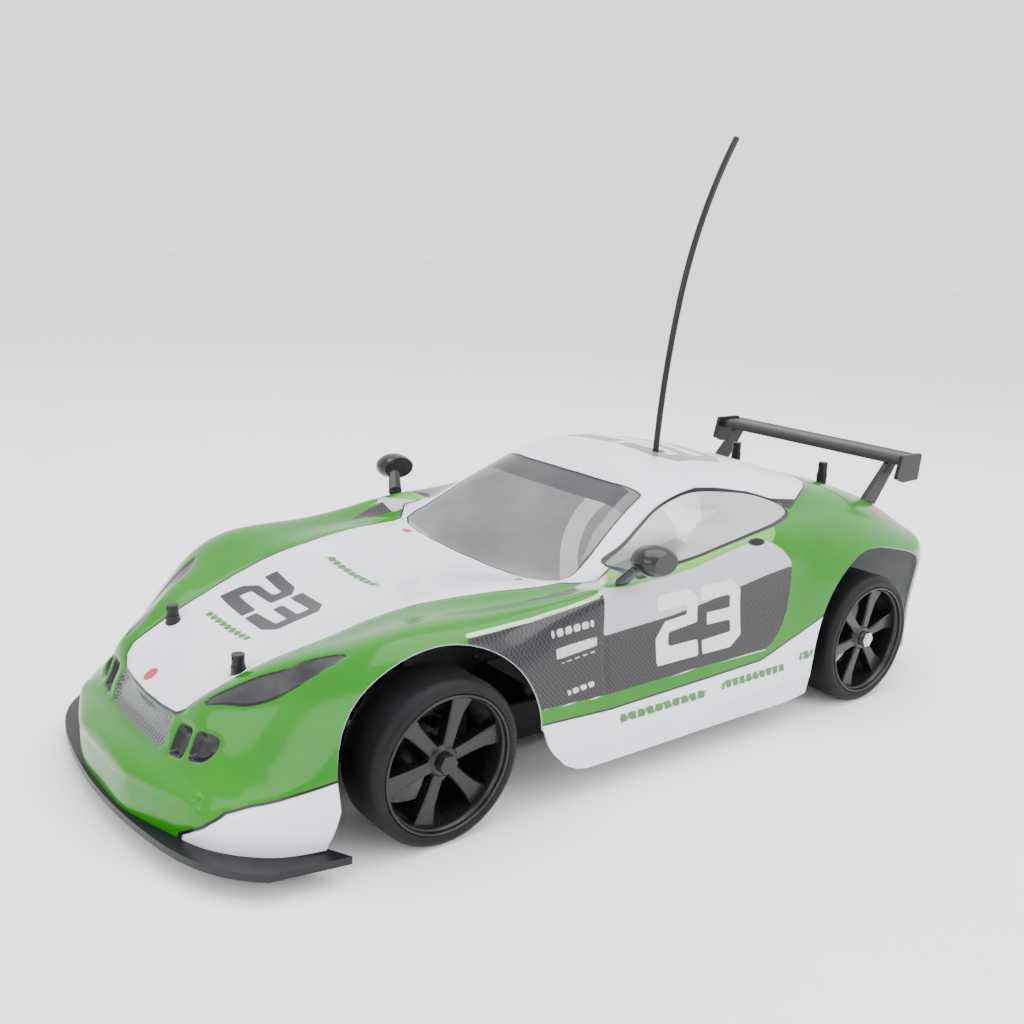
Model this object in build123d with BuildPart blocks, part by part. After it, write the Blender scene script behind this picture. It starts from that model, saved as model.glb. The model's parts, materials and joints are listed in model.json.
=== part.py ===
from build123d import *
import math
import os

# 1:10 drift car with a lift-off body shell.
# Frame: X to the car's left, Y towards its tail, Z up; the tyres stand on Z = 0.

os.makedirs("parts", exist_ok=True)

# ---------------------------------------------------------------- driving dimensions (mm)
HALF_LENGTH = 214.0          # splitter lip and wing trailing edge, from the middle
FRONT_AXLE_Y = -115.0
REAR_AXLE_Y = 143.0
TRACK_OUTER = 95.0           # outer face of a tyre
TYRE_RADIUS = 33.0
TYRE_WIDTH = 26.0
RIM_RADIUS = 27.8
AXLE_Z = TYRE_RADIUS
WHEEL_X = TRACK_OUTER - TYRE_WIDTH / 2
WHEEL_INNER_X = TRACK_OUTER - TYRE_WIDTH

SHELL_WALL = 1.6
FRONT_POST = (32.0, -169.5)
REAR_POST = (31.0, 175.3)
POST_RADIUS = 2.5
AERIAL_X, AERIAL_Y = 20.0, 54.6
AERIAL_RADIUS = 1.5

PIVOT_INNER_X = 24.0         # hinge lines of all suspension arms
PIVOT_OUTER_X = 63.0
LOWER_PIVOT_Z = 17.0
UPPER_PIVOT_Z = 49.0
KINGPIN_X = 66.0
FRONT_LINK_Y = -113.0        # plane of the front upper arms

PIN_RADIUS = 1.5
RUNNING = 0.05               # radial clearance of a turning fit
GAP = 0.3                    # side clearance between moving parts

FLOOR_Z = 5.0                # underside of the tub
DECK_Z = 8.0                 # top of the tub floor
TUB_HALF_WIDTH = 45.0

RACK_Y = -99.75
RACK_Z = 38.0
RACK_END_X = 27.0
STEER_ARM = 16.0
SERVO_Y = -72.0
HORN_REACH = 16.0

GEAR_MODULE = 0.8
SPOOL_TEETH = 52
PINION_TEETH = 16
GEAR_X = 10.0
GEAR_WIDTH = 5.0
PINION_ANGLE = 160.0         # direction of the pinion seen from the spool, in the YZ plane

DAMPER_FRONT = {"y": -128.0, "top": (20.0, 61.0), "foot": (48.0, 25.0)}
DAMPER_REAR = {"y": 155.0, "top": (24.0, 76.0), "foot": (48.0, 25.0)}


def save(piece, name):
    piece.part.label = name
    export_step(piece.part, f"parts/{name}.step")


def save_pair(piece, name):
    """Writes a left-hand piece and its mirror image."""
    save(piece, name + "_left")
    with BuildPart() as right:
        mirror(piece.part, about=Plane.YZ)
    save(right, name + "_right")


def block(x0, x1, y0, y1, z0, z1, mode=Mode.ADD):
    """A box from its two corners."""
    with Locations(((x0 + x1) / 2, (y0 + y1) / 2, (z0 + z1) / 2)):
        Box(x1 - x0, y1 - y0, z1 - z0, mode=mode)


def rod_x(y, z, radius, x0, x1, mode=Mode.ADD):
    """A round bar along X."""
    with BuildSketch(Plane.YZ.offset(x0)) as section:
        with Locations((y, z)):
            Circle(radius)
    extrude(section.sketch, amount=x1 - x0, mode=mode)


def rod_y(x, z, radius, y0, y1, mode=Mode.ADD):
    """A round bar along Y."""
    with BuildSketch(Plane.XZ.offset(-y1)) as section:
        with Locations((x, z)):
            Circle(radius)
    extrude(section.sketch, amount=y1 - y0, mode=mode)


def rod_z(x, y, radius, z0, z1, mode=Mode.ADD):
    """A round bar along Z."""
    with BuildSketch(Plane.XY.offset(z0)) as section:
        with Locations((x, y)):
            Circle(radius)
    extrude(section.sketch, amount=z1 - z0, mode=mode)


# ================================================================ body shell
# Stations along the car. Each has its Y, how far the inside is set back along Y, and the
# half section from the middle of the roof or bonnet down to the lower edge, as (x, z).
STATIONS = [
    (-210.5, 1.6, [(0, 31), (10, 30.5), (18, 29.5), (24, 27.5), (27, 24), (28, 20), (28, 15.5), (27, 11)]),
    (-205.0, 0.8, [(0, 32), (16, 31.6), (30, 30.5), (39, 28.5), (44, 25), (46, 20.5), (46, 15.5), (45, 11)]),
    (-198.0, 1.4, [(0, 32.5), (18, 32.5), (34, 32), (48, 30.5), (58, 27.5), (63, 23), (65, 17), (64, 11)]),
    (-194.5, 1.6, [(0, 43.5), (15, 43), (28, 41), (42, 36), (56, 31.5), (66, 26), (70, 18), (69.5, 11)]),
    (-188.0, 1.2, [(0, 48.5), (16, 48.8), (30, 50.5), (41, 51.5), (53, 41), (69, 30), (77, 20), (77, 11)]),
    (-178.0, 0.5, [(0, 54), (17, 54.4), (31.5, 56), (46, 58), (60, 46), (78, 33), (85, 21), (84.5, 11)]),
    (-166.0, 0.3, [(0, 58.5), (18, 59), (34, 61.3), (49, 65.4), (65, 57.5), (83, 41), (90, 24), (89, 11.5)]),
    (-154.0, 0.0, [(0, 62.5), (20, 63.2), (36.5, 65.6), (54, 70), (71, 66.5), (87, 52), (93.5, 29), (91.5, 12)]),
    (-138.0, 0.0, [(0, 67), (20, 67.8), (39, 70.5), (58, 74.5), (76, 77), (90, 67), (95, 34), (93, 12)]),
    (-120.0, 0.0, [(0, 71), (22, 72.2), (42, 76), (62, 79.5), (80, 81.6), (91, 73), (95, 36), (93, 12)]),
    (-104.0, 0.0, [(0, 73.5), (23, 75.2), (45, 79.3), (65, 81), (81, 82), (91.3, 73), (95, 36), (93, 12)]),
    (-86.0, 0.0, [(0, 75), (25, 77.5), (51, 81.2), (68, 81), (82.5, 81.6), (91.3, 71), (95, 35), (93, 12)]),
    (-66.0, 0.0, [(0, 76), (28, 79), (56, 82), (71, 81.3), (84.5, 82.8), (91, 69), (95, 34), (93, 12)]),
    (-46.0, 0.0, [(0, 75.8), (29, 77.6), (59, 81.6), (73, 82), (87, 85), (90.5, 68), (95, 33), (92.5, 12)]),
    (-38.0, 0.5, [(0, 76), (28, 77.4), (61, 82), (74, 83.2), (87.5, 86.4), (90.3, 69), (95, 32.5), (92.5, 12)]),
    (-22.0, 0.6, [(0, 89), (28, 89.3), (58.5, 89.8), (73, 86.8), (87.5, 87.6), (90, 70), (95, 32), (92.5, 12)]),
    (-8.0, 0.5, [(0, 100), (27, 99.8), (54.8, 99), (72, 91), (87, 88.4), (90, 70), (95, 31.8), (92.5, 12)]),
    (6.0, 0.4, [(0, 109.8), (26, 109.2), (51.4, 106.5), (70, 95), (86.5, 89), (89.7, 70), (95, 31.7), (92.5, 12)]),
    (18.0, 0.2, [(0, 117), (26, 116.2), (50.5, 112), (68, 99), (86.5, 89.5), (89.7, 70), (95, 31.7), (92.5, 12.3)]),
    (36.0, 0.0, [(0, 124.2), (27, 122.8), (51.5, 116.8), (67, 103), (86, 90.8), (89.7, 71), (95, 32), (92.5, 12.3)]),
    (56.0, 0.0, [(0, 125), (28, 123.4), (53, 117), (68, 104), (86, 92.8), (90, 72), (95, 33), (92.5, 12.3)]),
    (78.0, 0.0, [(0, 122.6), (28, 121), (54, 114.5), (69, 103.5), (85.5, 94.6), (90.5, 74), (95, 36), (92.5, 12)]),
    (98.0, 0.0, [(0, 119), (28, 117.6), (56, 111.6), (70, 103), (84.5, 94), (91.5, 76), (95.5, 42), (93, 14)]),
    (120.0, 0.0, [(0, 113.6), (30, 112.6), (58, 108), (71, 101), (83.5, 91.6), (92, 76), (95, 48), (93, 20)]),
    (143.0, 0.0, [(0, 107.4), (30, 107), (59, 103.8), (71, 97.6), (82.5, 88.6), (91, 75.5), (94, 50), (92, 20)]),
    (163.0, 0.0, [(0, 102), (30, 101.8), (58, 98.8), (69.5, 93.5), (80.5, 85), (88.5, 75), (91, 50), (89, 18)]),
    (180.0, 0.3, [(0, 97.6), (30, 97.2), (56, 94), (67.5, 89), (78.5, 81.5), (85, 73.5), (87, 48), (85.5, 15)]),
    (193.0, 0.5, [(0, 93), (30, 92.6), (55, 89), (66.5, 84), (76.5, 78), (82, 72.5), (82.5, 46), (81.5, 13)]),
    (204.0, 0.7, [(0, 88.6), (30, 88.2), (54, 84), (65.5, 79.5), (75, 75.5), (79, 71.5), (78, 45), (77, 12)]),
    (212.0, 1.6, [(0, 84), (29, 83.6), (51, 80), (62, 76.5), (70.5, 73), (73.5, 68), (73, 44), (72, 13)]),
]


def inset(points, amount):
    """Moves a half section inwards by the wall thickness and drops its lower end."""
    moved = []
    last = len(points) - 1
    for i, (x, z) in enumerate(points):
        before = points[i - 1] if i > 0 else (-points[1][0], points[1][1])
        after = points[i + 1] if i < last else points[i]
        along = (after[0] - before[0], after[1] - before[1])
        length = math.hypot(*along)
        moved.append((x + along[1] / length * amount, z - along[0] / length * amount))
    moved[0] = (0, points[0][1] - amount)
    moved[last] = (moved[last][0], points[last][1] - 6)
    return moved


def body_section(y, points):
    """A closed section across the car: a spline over the top and a straight lower edge."""
    outline = [(-x, z) for x, z in reversed(points[1:])] + points
    with BuildSketch(Plane.XZ.offset(-y)) as section:
        with BuildLine():
            Spline(outline)
            Line(outline[-1], outline[0])
        make_face()
    return section.sketch


ARCH_X = 76                     # the arches are cut outside this
FRONT_ARCH = (FRONT_AXLE_Y - 0.5, 34.0, 44.0)     # y, z, radius
REAR_ARCH = (REAR_AXLE_Y, 34.0, 46.0)

outer_sections = [body_section(y, points) for y, back, points in STATIONS]
inner_sections = []
for number, (y, back, points) in enumerate(STATIONS):
    inner_y = y - back if number == len(STATIONS) - 1 else y + back
    inner_sections.append(body_section(inner_y, inset(points, SHELL_WALL)))

with BuildPart() as whole_shell:
    loft(outer_sections, ruled=True)
    loft(inner_sections, ruled=True, mode=Mode.SUBTRACT)
    for side in (-1, 1):
        with BuildSketch(Plane.YZ.offset(side * ARCH_X)):
            with Locations(FRONT_ARCH[:2]):
                Circle(FRONT_ARCH[2])
            with Locations(REAR_ARCH[:2]):
                Circle(REAR_ARCH[2])
            with BuildLine():
                # open below the front arch, with a cut corner at the bumper and at the skirt
                Polyline([(-159.5, 34), (-159.5, 26), (-164, 14), (-164, 0), (-43, 0), (-47.5, 12.5), (-57.2, 17.6),
                          (-67.3, 28.5), (-71.5, 34)], close=True)
            make_face()
            with BuildLine():
                # open below the rear arch, and from the rear wheel back to the bumper
                Polyline([(97, 0), (97, 34), (143, 34), (143, 79.5), (165, 76.5), (188, 71), (203, 64), (203, 0)],
                         close=True)
            make_face()
        extrude(amount=side * 40, mode=Mode.SUBTRACT)
    for x, y in (FRONT_POST, REAR_POST):
        for side in (-1, 1):
            rod_z(side * x, y, POST_RADIUS + 0.8, 40, 130, mode=Mode.SUBTRACT)
    rod_z(AERIAL_X, AERIAL_Y + 1.2, 4, 100, 140, mode=Mode.SUBTRACT)

# The shell is kept as thin zones that meet face to face, so that each is a simple, open shape.
SIDE_CUTS = (-215, -150, -128, -103, -79.6, -71.5, 97, 125, 161, 203, 215)
NOSE_CUTS = (-215, -197, -186, -158, -138, -104, -40)
TOP_CUTS = (-40, 18, 110, 163, 203, 215)
ROOF_X = 50
ZONES = ((-110, -ARCH_X, SIDE_CUTS), (ARCH_X, 110, SIDE_CUTS), (-ARCH_X, ARCH_X, NOSE_CUTS),
         (-ARCH_X, -ROOF_X, TOP_CUTS), (-ROOF_X, ROOF_X, TOP_CUTS), (ROOF_X, ARCH_X, TOP_CUTS))
shell_zones = []
for x0, x1, cuts in ZONES:
    for y0, y1 in zip(cuts, cuts[1:]):
        with BuildPart() as zone:
            add(whole_shell.part)
            block(x0, x1, y0, y1, -5, 140, mode=Mode.INTERSECT)
        shell_zones += zone.part.solids()
export_step(Compound(children=shell_zones, label="body_shell"), "parts/body_shell.step")

# ---------------------------------------------------------------- splitter, wing, mirrors
SPLITTER_TOP = 11.0
with BuildPart() as front_splitter:
    with BuildSketch(Plane.XY.offset(8)):
        with BuildLine():
            Spline([(-92, -186), (-70, -203.5), (-43, -210.5), (0, -HALF_LENGTH), (43, -210.5), (70, -203.5),
                    (92, -186)])
            Polyline([(92, -186), (97, -157), (84, -164), (70, -180), (-70, -180), (-84, -164), (-97, -157),
                      (-92, -186)])
        make_face()
    extrude(amount=SPLITTER_TOP - 8)
    with BuildSketch(Plane.XY.offset(3.5)):
        with BuildLine():
            Spline([(-74, -190), (-40, -202), (0, -205.5), (40, -202), (74, -190)])
            Polyline([(74, -190), (66, -181), (-66, -181), (-74, -190)])
        make_face()
    extrude(amount=4.5)
    for foot_x in ((-36, -30.5), (30.5, 36)):
        block(*foot_x, -181, -174.2, DECK_Z, SPLITTER_TOP)
save(front_splitter, "front_splitter")

WING_HALF_SPAN = 64.0
with BuildPart() as rear_wing:
    with BuildSketch(Plane.YZ.offset(-WING_HALF_SPAN)):
        with BuildLine():
            Spline([(198, 112.6), (199.5, 115.6), (206, 117.2), (HALF_LENGTH, 117.6)])
            Spline([(HALF_LENGTH, 117.6), (213.6, 115.4), (206, 113.6), (198, 112.6)])
        make_face()
    extrude(amount=2 * WING_HALF_SPAN)
    for side in (-1, 1):
        with BuildSketch(Plane.YZ.offset(side * WING_HALF_SPAN)):
            with BuildLine():
                Polyline([(193, 106), (196, 118.5), (HALF_LENGTH, 118.5), (213, 104), (199, 103.5)], close=True)
            make_face()
            fillet(vertices(), radius=1.2)
        extrude(amount=side * 2.2)
save(rear_wing, "rear_wing")

with BuildPart() as wing_stays:
    for side in (-1, 1):
        with BuildSketch(Plane.YZ.offset(side * 53)):
            with BuildLine():
                Polyline([(181, 93.6), (191, 90), (207, 112), (206, 113.4), (199, 112.6)], close=True)
            make_face()
        extrude(amount=side * 3)
save(wing_stays, "wing_stays")

MIRROR = (99.0, -21.0, 99.5)
with BuildPart() as mirrors:
    for side in (-1, 1):
        with BuildSketch(Plane.YZ.offset(side * 93)):
            with Locations(MIRROR[1:]):
                Ellipse(8.6, 5.4)
        with BuildSketch(Plane.YZ.offset(side * 101)):
            with Locations(MIRROR[1:]):
                Ellipse(9.4, 6.4)
        with BuildSketch(Plane.YZ.offset(side * 105)):
            with Locations(MIRROR[1:]):
                Ellipse(6.4, 4.4)
        loft()
    for side in (-1, 1):
        with BuildSketch(Plane.YZ.offset(side * 87)):
            with Locations((-27, 88.5)):
                Ellipse(4, 2.6)
        with BuildSketch(Plane.YZ.offset(side * 94)):
            with Locations((-23.5, 97)):
                Ellipse(3.4, 2.6)
        loft()
save(mirrors, "mirrors")

# ================================================================ chassis
with BuildPart() as chassis_tub:
    with BuildSketch(Plane.XY.offset(FLOOR_Z)):
        with BuildLine():
            Polyline([(-36, -178), (36, -178), (36, -160), (22, -150), (22, -80), (TUB_HALF_WIDTH, -58),
                      (TUB_HALF_WIDTH, 96), (22, 112), (22, 164), (36, 168), (36, 184), (-36, 184), (-36, 168),
                      (-22, 164), (-22, 112), (-TUB_HALF_WIDTH, 96), (-TUB_HALF_WIDTH, -58), (-22, -80), (-22, -150),
                      (-36, -160)], close=True)
        make_face()
    extrude(amount=DECK_Z - FLOOR_Z)
    fillet(chassis_tub.edges().filter_by(Axis.Z), radius=4)
    with BuildSketch(Plane.XY.offset(DECK_Z)):
        with BuildLine():
            Polyline([(-24, -77), (24, -77), (TUB_HALF_WIDTH, -57), (TUB_HALF_WIDTH, 95), (-TUB_HALF_WIDTH, 95),
                      (-TUB_HALF_WIDTH, -57)], close=True)
        make_face()
        offset(amount=-2, mode=Mode.SUBTRACT)
    extrude(amount=14)
    block(-14, 14, -82, -70, DECK_Z, 24, mode=Mode.SUBTRACT)
    rod_z(AERIAL_X, AERIAL_Y, 5, DECK_Z, 20)
    rod_z(AERIAL_X, AERIAL_Y, AERIAL_RADIUS, 10, 24, mode=Mode.SUBTRACT)
    for y in (-30, 0, 30, 60):
        with Locations((28, y, FLOOR_Z)):
            Cylinder(4, 3, align=(Align.CENTER, Align.CENTER, Align.MIN), mode=Mode.SUBTRACT)
save(chassis_tub, "chassis_tub")

with BuildPart() as bumper_foam:
    with BuildSketch(Plane.XY.offset(13)):
        with BuildLine():
            Spline([(-64, -180), (-54, -190), (-36, -197), (0, -201), (36, -197), (54, -190), (64, -180)])
            Polyline([(64, -180), (60, -178), (-60, -178), (-64, -180)])
        make_face()
    extrude(amount=14)
    block(-30, 30, -178, -174, DECK_Z, 27)
    fillet(bumper_foam.edges().group_by(Axis.Z)[-1], radius=2)
save(bumper_foam, "bumper_foam")

with BuildPart() as body_posts:
    for x, y, shoulder, top in ((*FRONT_POST, 62.0, 66.5), (*REAR_POST, 104.0, 110.0)):
        for side in (-1, 1):
            rod_z(side * x, y, POST_RADIUS + 1.5, DECK_Z, DECK_Z + 22)
            rod_z(side * x, y, POST_RADIUS + 0.3, DECK_Z + 22, shoulder)
            rod_z(side * x, y, POST_RADIUS, shoulder, top)
            rod_y(side * x, top - 1.3, 0.7, y - 5, y + 5, mode=Mode.SUBTRACT)
save(body_posts, "body_posts")

with BuildPart() as aerial_tube:
    with BuildLine() as route:
        upright = Line((AERIAL_X, AERIAL_Y, 10), (AERIAL_X, AERIAL_Y, 112))
        bend = TangentArc((AERIAL_X, AERIAL_Y, 112), (AERIAL_X, 62.5, 196.7), tangent=(0, 0, 1))
        TangentArc((AERIAL_X, 62.5, 196.7), (AERIAL_X, 91.5, 273), tangent=bend % 1)
    with BuildSketch(Plane.XY.offset(10)):
        with Locations((AERIAL_X, AERIAL_Y)):
            Circle(AERIAL_RADIUS)
    sweep(path=route.line)
save(aerial_tube, "aerial_tube")

with BuildPart() as battery_pack:
    with BuildSketch(Plane.XZ.offset(38)):
        for row in range(2):
            with Locations((-31 + 23 * row, DECK_Z + 12)):
                Circle(11.5)
        with Locations((-19.5, DECK_Z + 12)):
            Rectangle(23, 20)
    extrude(amount=-130)
save(battery_pack, "battery_pack")

with BuildPart() as receiver_unit:
    block(9, 41, -36, 38, DECK_Z, DECK_Z + 20)
    fillet(receiver_unit.edges().filter_by(Axis.Z), radius=3)
    for i in range(6):
        block(12, 38, 2 + 5 * i, 4 + 5 * i, DECK_Z + 20, DECK_Z + 24)
    with Locations((25, -24, DECK_Z + 20)):
        Cylinder(4, 2, align=(Align.CENTER, Align.CENTER, Align.MIN))
save(receiver_unit, "receiver_unit")

# ---------------------------------------------------------------- bulkhead and gearbox
TOWER_Y = (-120.5, -116.5)
LINK_LUG_Y = (-109.5, -106.0)
FRONT_LUG_Y = ((-137.0, -133.3), (-96.7, -93.0))
with BuildPart() as front_bulkhead:
    block(-28, 28, -137, -93, DECK_Z, 12)
    block(-8, 8, -137, -93, 12, 30)
    for y0, y1 in FRONT_LUG_Y:
        block(-28, 28, y0, y1, 12, 21)
    with BuildSketch(Plane.XZ.offset(-TOWER_Y[1])):
        with BuildLine():
            Polyline([(-10, 12), (10, 12), (28, 43), (28, 53), (26, 66), (14, 66), (8, 56), (-8, 56), (-14, 66),
                      (-26, 66), (-28, 53), (-28, 43)], close=True)
        make_face()
    extrude(amount=TOWER_Y[1] - TOWER_Y[0])
    block(-28, 28, *LINK_LUG_Y, 44, 53)
    block(-12, 12, *LINK_LUG_Y, 12, 44)
    block(-8, 8, TOWER_Y[1], LINK_LUG_Y[0], 30, 53)
    for side in (-1, 1):
        rod_y(side * PIVOT_INNER_X, LOWER_PIVOT_Z, PIN_RADIUS, -140, -90, mode=Mode.SUBTRACT)
        rod_y(side * PIVOT_INNER_X, UPPER_PIVOT_Z, PIN_RADIUS, -125, -100, mode=Mode.SUBTRACT)
        rod_y(side * DAMPER_FRONT["top"][0], DAMPER_FRONT["top"][1], PIN_RADIUS, -132, TOWER_Y[0])
        guide = sorted((side * 12.2, side * 14.9))
        block(*guide, -104.5, -95, 12, 42.5)
    rod_x(RACK_Y, RACK_Z, 3 + RUNNING, -20, 20, mode=Mode.SUBTRACT)
save(front_bulkhead, "front_bulkhead")

SIDE_PLATE_X = (16.6, 20.2)
MOTOR_PLATE_X = (2.0, 5.0)
CENTRE_DISTANCE = GEAR_MODULE * (SPOOL_TEETH + PINION_TEETH) / 2 + 0.1
MOTOR_Y = REAR_AXLE_Y + CENTRE_DISTANCE * math.cos(math.radians(PINION_ANGLE))
MOTOR_Z = AXLE_Z + CENTRE_DISTANCE * math.sin(math.radians(PINION_ANGLE))
MOTOR_RADIUS = 17.5
REAR_LUG_Y = ((125.3, 129.0), (157.0, 162.0))
LINK_EARS = ((136.3, 139.7), (146.3, 149.7))
REAR_TOWER_Y = (162.0, 166.0)
with BuildPart() as rear_gearbox:
    block(-28, 28, 125.3, 166, DECK_Z, 11)
    block(-8, 24, 98, 126, DECK_Z, 11)
    for y0, y1 in REAR_LUG_Y:
        block(-28, 28, y0, y1, 11, 21)
    for side in (-1, 1):
        side_plate = sorted((side * SIDE_PLATE_X[0], side * SIDE_PLATE_X[1]))
        block(*side_plate, 136.3, 162, 11, 54)
        ear = sorted((side * SIDE_PLATE_X[0], side * 28))
        for y0, y1 in LINK_EARS:
            block(*ear, y0, y1, 45, 53)
    with BuildSketch(Plane.XZ.offset(-REAR_TOWER_Y[1])):
        with BuildLine():
            Polyline([(-28, 11), (28, 11), (21.5, 40), (22, 60), (30, 72), (30, 82), (18, 82), (8, 66), (-8, 66),
                      (-18, 82), (-30, 82), (-30, 72), (-22, 60), (-21.5, 40)], close=True)
        make_face()
    extrude(amount=REAR_TOWER_Y[1] - REAR_TOWER_Y[0])
    with BuildSketch(Plane.YZ.offset(MOTOR_PLATE_X[0])):
        with Locations((MOTOR_Y, MOTOR_Z)):
            Circle(MOTOR_RADIUS)
        with BuildLine():
            Polyline([(100, 10), (131, 10), (134.6, MOTOR_Z), (100.4, MOTOR_Z)], close=True)
        make_face()
    extrude(amount=MOTOR_PLATE_X[1] - MOTOR_PLATE_X[0])
    rod_x(MOTOR_Y, MOTOR_Z, 7, 0, 8, mode=Mode.SUBTRACT)
    rod_x(REAR_AXLE_Y, AXLE_Z, 22.3, GEAR_X - 1, GEAR_X + GEAR_WIDTH + 1, mode=Mode.SUBTRACT)
    rod_x(REAR_AXLE_Y, AXLE_Z, 3 + RUNNING, -30, 30, mode=Mode.SUBTRACT)
    for side in (-1, 1):
        rod_y(side * PIVOT_INNER_X, LOWER_PIVOT_Z, PIN_RADIUS, 120, 168, mode=Mode.SUBTRACT)
        rod_y(side * PIVOT_INNER_X, UPPER_PIVOT_Z, PIN_RADIUS, 130, 155, mode=Mode.SUBTRACT)
        rod_y(side * DAMPER_REAR["top"][0], DAMPER_REAR["top"][1], PIN_RADIUS, 151.5, REAR_TOWER_Y[0])
save(rear_gearbox, "rear_gearbox")

with BuildPart() as hinge_pins:
    for side in (-1, 1):
        rod_y(side * PIVOT_INNER_X, LOWER_PIVOT_Z, PIN_RADIUS, -137.5, -92.5)
        rod_y(side * PIVOT_INNER_X, UPPER_PIVOT_Z, PIN_RADIUS, -121, -105.5)
        rod_y(side * PIVOT_INNER_X, LOWER_PIVOT_Z, PIN_RADIUS, 124.8, 166.5)
        rod_y(side * PIVOT_INNER_X, UPPER_PIVOT_Z, PIN_RADIUS, 135.8, 150.2)
save(hinge_pins, "hinge_pins")


# ================================================================ suspension
def lower_arm(inner_y, outer_y, lug_y, foot):
    """An A-arm on the left side. The lug of the carrier sits between its two outer ears."""
    with BuildPart() as arm:
        rod_y(PIVOT_INNER_X, LOWER_PIVOT_Z, 3.5, *inner_y)
        with BuildSketch(Plane.XY.offset(LOWER_PIVOT_Z - 2.5)):
            with BuildLine():
                Polyline([(PIVOT_INNER_X, inner_y[0]), (56, outer_y[0]), (56, outer_y[1]),
                          (PIVOT_INNER_X, inner_y[1])], close=True)
            make_face()
            with Locations((36, (inner_y[0] + inner_y[1]) / 2)):
                SlotOverall(14, 9, rotation=90, mode=Mode.SUBTRACT)
        extrude(amount=5)
        for y0, y1 in ((outer_y[0], outer_y[0] + 4.2), (outer_y[1] - 4.2, outer_y[1])):
            block(50, PIVOT_OUTER_X, y0, y1, LOWER_PIVOT_Z - 3.5, LOWER_PIVOT_Z + 3.5)
            rod_y(PIVOT_OUTER_X, LOWER_PIVOT_Z, 3.5, y0, y1)
        foot_x, foot_z = foot["foot"]
        pin_ends = sorted((lug_y[0], foot["y"] + math.copysign(3.5, foot["y"] - lug_y[0])))
        block(foot_x - 3.5, foot_x + 3.5, *sorted(lug_y), LOWER_PIVOT_Z + 2, foot_z)
        rod_y(foot_x, foot_z, 3.5, *sorted(lug_y))
        rod_y(foot_x, foot_z, PIN_RADIUS, *pin_ends)
        rod_y(PIVOT_INNER_X, LOWER_PIVOT_Z, PIN_RADIUS + RUNNING, -200, 200, mode=Mode.SUBTRACT)
        rod_y(PIVOT_OUTER_X, LOWER_PIVOT_Z, PIN_RADIUS + RUNNING, -200, 200, mode=Mode.SUBTRACT)
    return arm


save_pair(lower_arm((-133, -97), (-123.5, -106.5), (-121, -124.5), DAMPER_FRONT), "front_lower_arm")
save_pair(lower_arm((129.3, 156.7), (134.5, 151.5), (148, 151.5), DAMPER_REAR), "rear_lower_arm")


def upper_arm(y):
    """A straight link with an eye at each end."""
    with BuildPart() as arm:
        for x in (PIVOT_INNER_X, PIVOT_OUTER_X):
            rod_y(x, UPPER_PIVOT_Z, 3.3, y - 3, y + 3)
        rod_x(y, UPPER_PIVOT_Z, 2, PIVOT_INNER_X + 2.6, PIVOT_OUTER_X - 2.6)
        with BuildSketch(Plane.YZ.offset(40)):
            with Locations((y, UPPER_PIVOT_Z)):
                RegularPolygon(2.8, 6)
        extrude(amount=7)
        for x in (PIVOT_INNER_X, PIVOT_OUTER_X):
            rod_y(x, UPPER_PIVOT_Z, PIN_RADIUS + RUNNING, y - 5, y + 5, mode=Mode.SUBTRACT)
    return arm


save_pair(upper_arm(FRONT_LINK_Y), "front_upper_arm")
save_pair(upper_arm(REAR_AXLE_Y), "rear_upper_arm")

CARRIER_LOWER_Z = (20.0, 23.0)
CARRIER_UPPER_Z = (42.0, 45.0)
with BuildPart() as front_carrier:
    y = FRONT_AXLE_Y
    rod_y(PIVOT_OUTER_X, LOWER_PIVOT_Z, 3.8, y - 4, y + 4)
    rod_y(PIVOT_OUTER_X, LOWER_PIVOT_Z, PIN_RADIUS, y - 8.5, y + 8.5)
    block(57.6, 61.2, y - 3.5, y + 2.5, LOWER_PIVOT_Z, 45)
    block(57.6, 70, y - 4, y + 4, 18.5, CARRIER_LOWER_Z[1])
    block(57.6, 70, y - 4.5, y + 8.5, *CARRIER_UPPER_Z)
    rod_z(KINGPIN_X, y, PIN_RADIUS, CARRIER_LOWER_Z[1], 27)
    rod_z(KINGPIN_X, y, PIN_RADIUS, 38, CARRIER_UPPER_Z[0])
    for y0, y1 in ((y - 4.5, y - 1.3), (y + 5.3, y + 8.5)):
        block(59.7, 66.3, y0, y1, 44, UPPER_PIVOT_Z)
        rod_y(PIVOT_OUTER_X, UPPER_PIVOT_Z, 3.3, y0, y1)
    rod_y(PIVOT_OUTER_X, UPPER_PIVOT_Z, PIN_RADIUS, y - 4.5, y + 8.5)
save_pair(front_carrier, "front_carrier")

with BuildPart() as front_knuckle:
    y = FRONT_AXLE_Y
    rod_z(KINGPIN_X, y, 4.5, CARRIER_LOWER_Z[1] + GAP, CARRIER_UPPER_Z[0] - GAP)
    rod_x(y, AXLE_Z, 8, 70, 73)
    rod_x(y, AXLE_Z, 5, KINGPIN_X, 70)
    rod_x(y, AXLE_Z, 2.5, 70, 94)
    block(KINGPIN_X - 2.5, KINGPIN_X + 2.5, y, y + STEER_ARM, 31, 35)
    rod_z(KINGPIN_X, y + STEER_ARM, 2.5, 31, 35)
    rod_z(KINGPIN_X, y + STEER_ARM, 1.2, 35, 41)
    rod_z(KINGPIN_X, y, PIN_RADIUS + RUNNING, 20, 27.3, mode=Mode.SUBTRACT)
    rod_z(KINGPIN_X, y, PIN_RADIUS + RUNNING, 37.7, 45, mode=Mode.SUBTRACT)
    with BuildSketch(Plane.YZ.offset(91.4)):
        with Locations((y, AXLE_Z)):
            RegularPolygon(4, 6)
    extrude(amount=2.6)
save_pair(front_knuckle, "front_knuckle")

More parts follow.
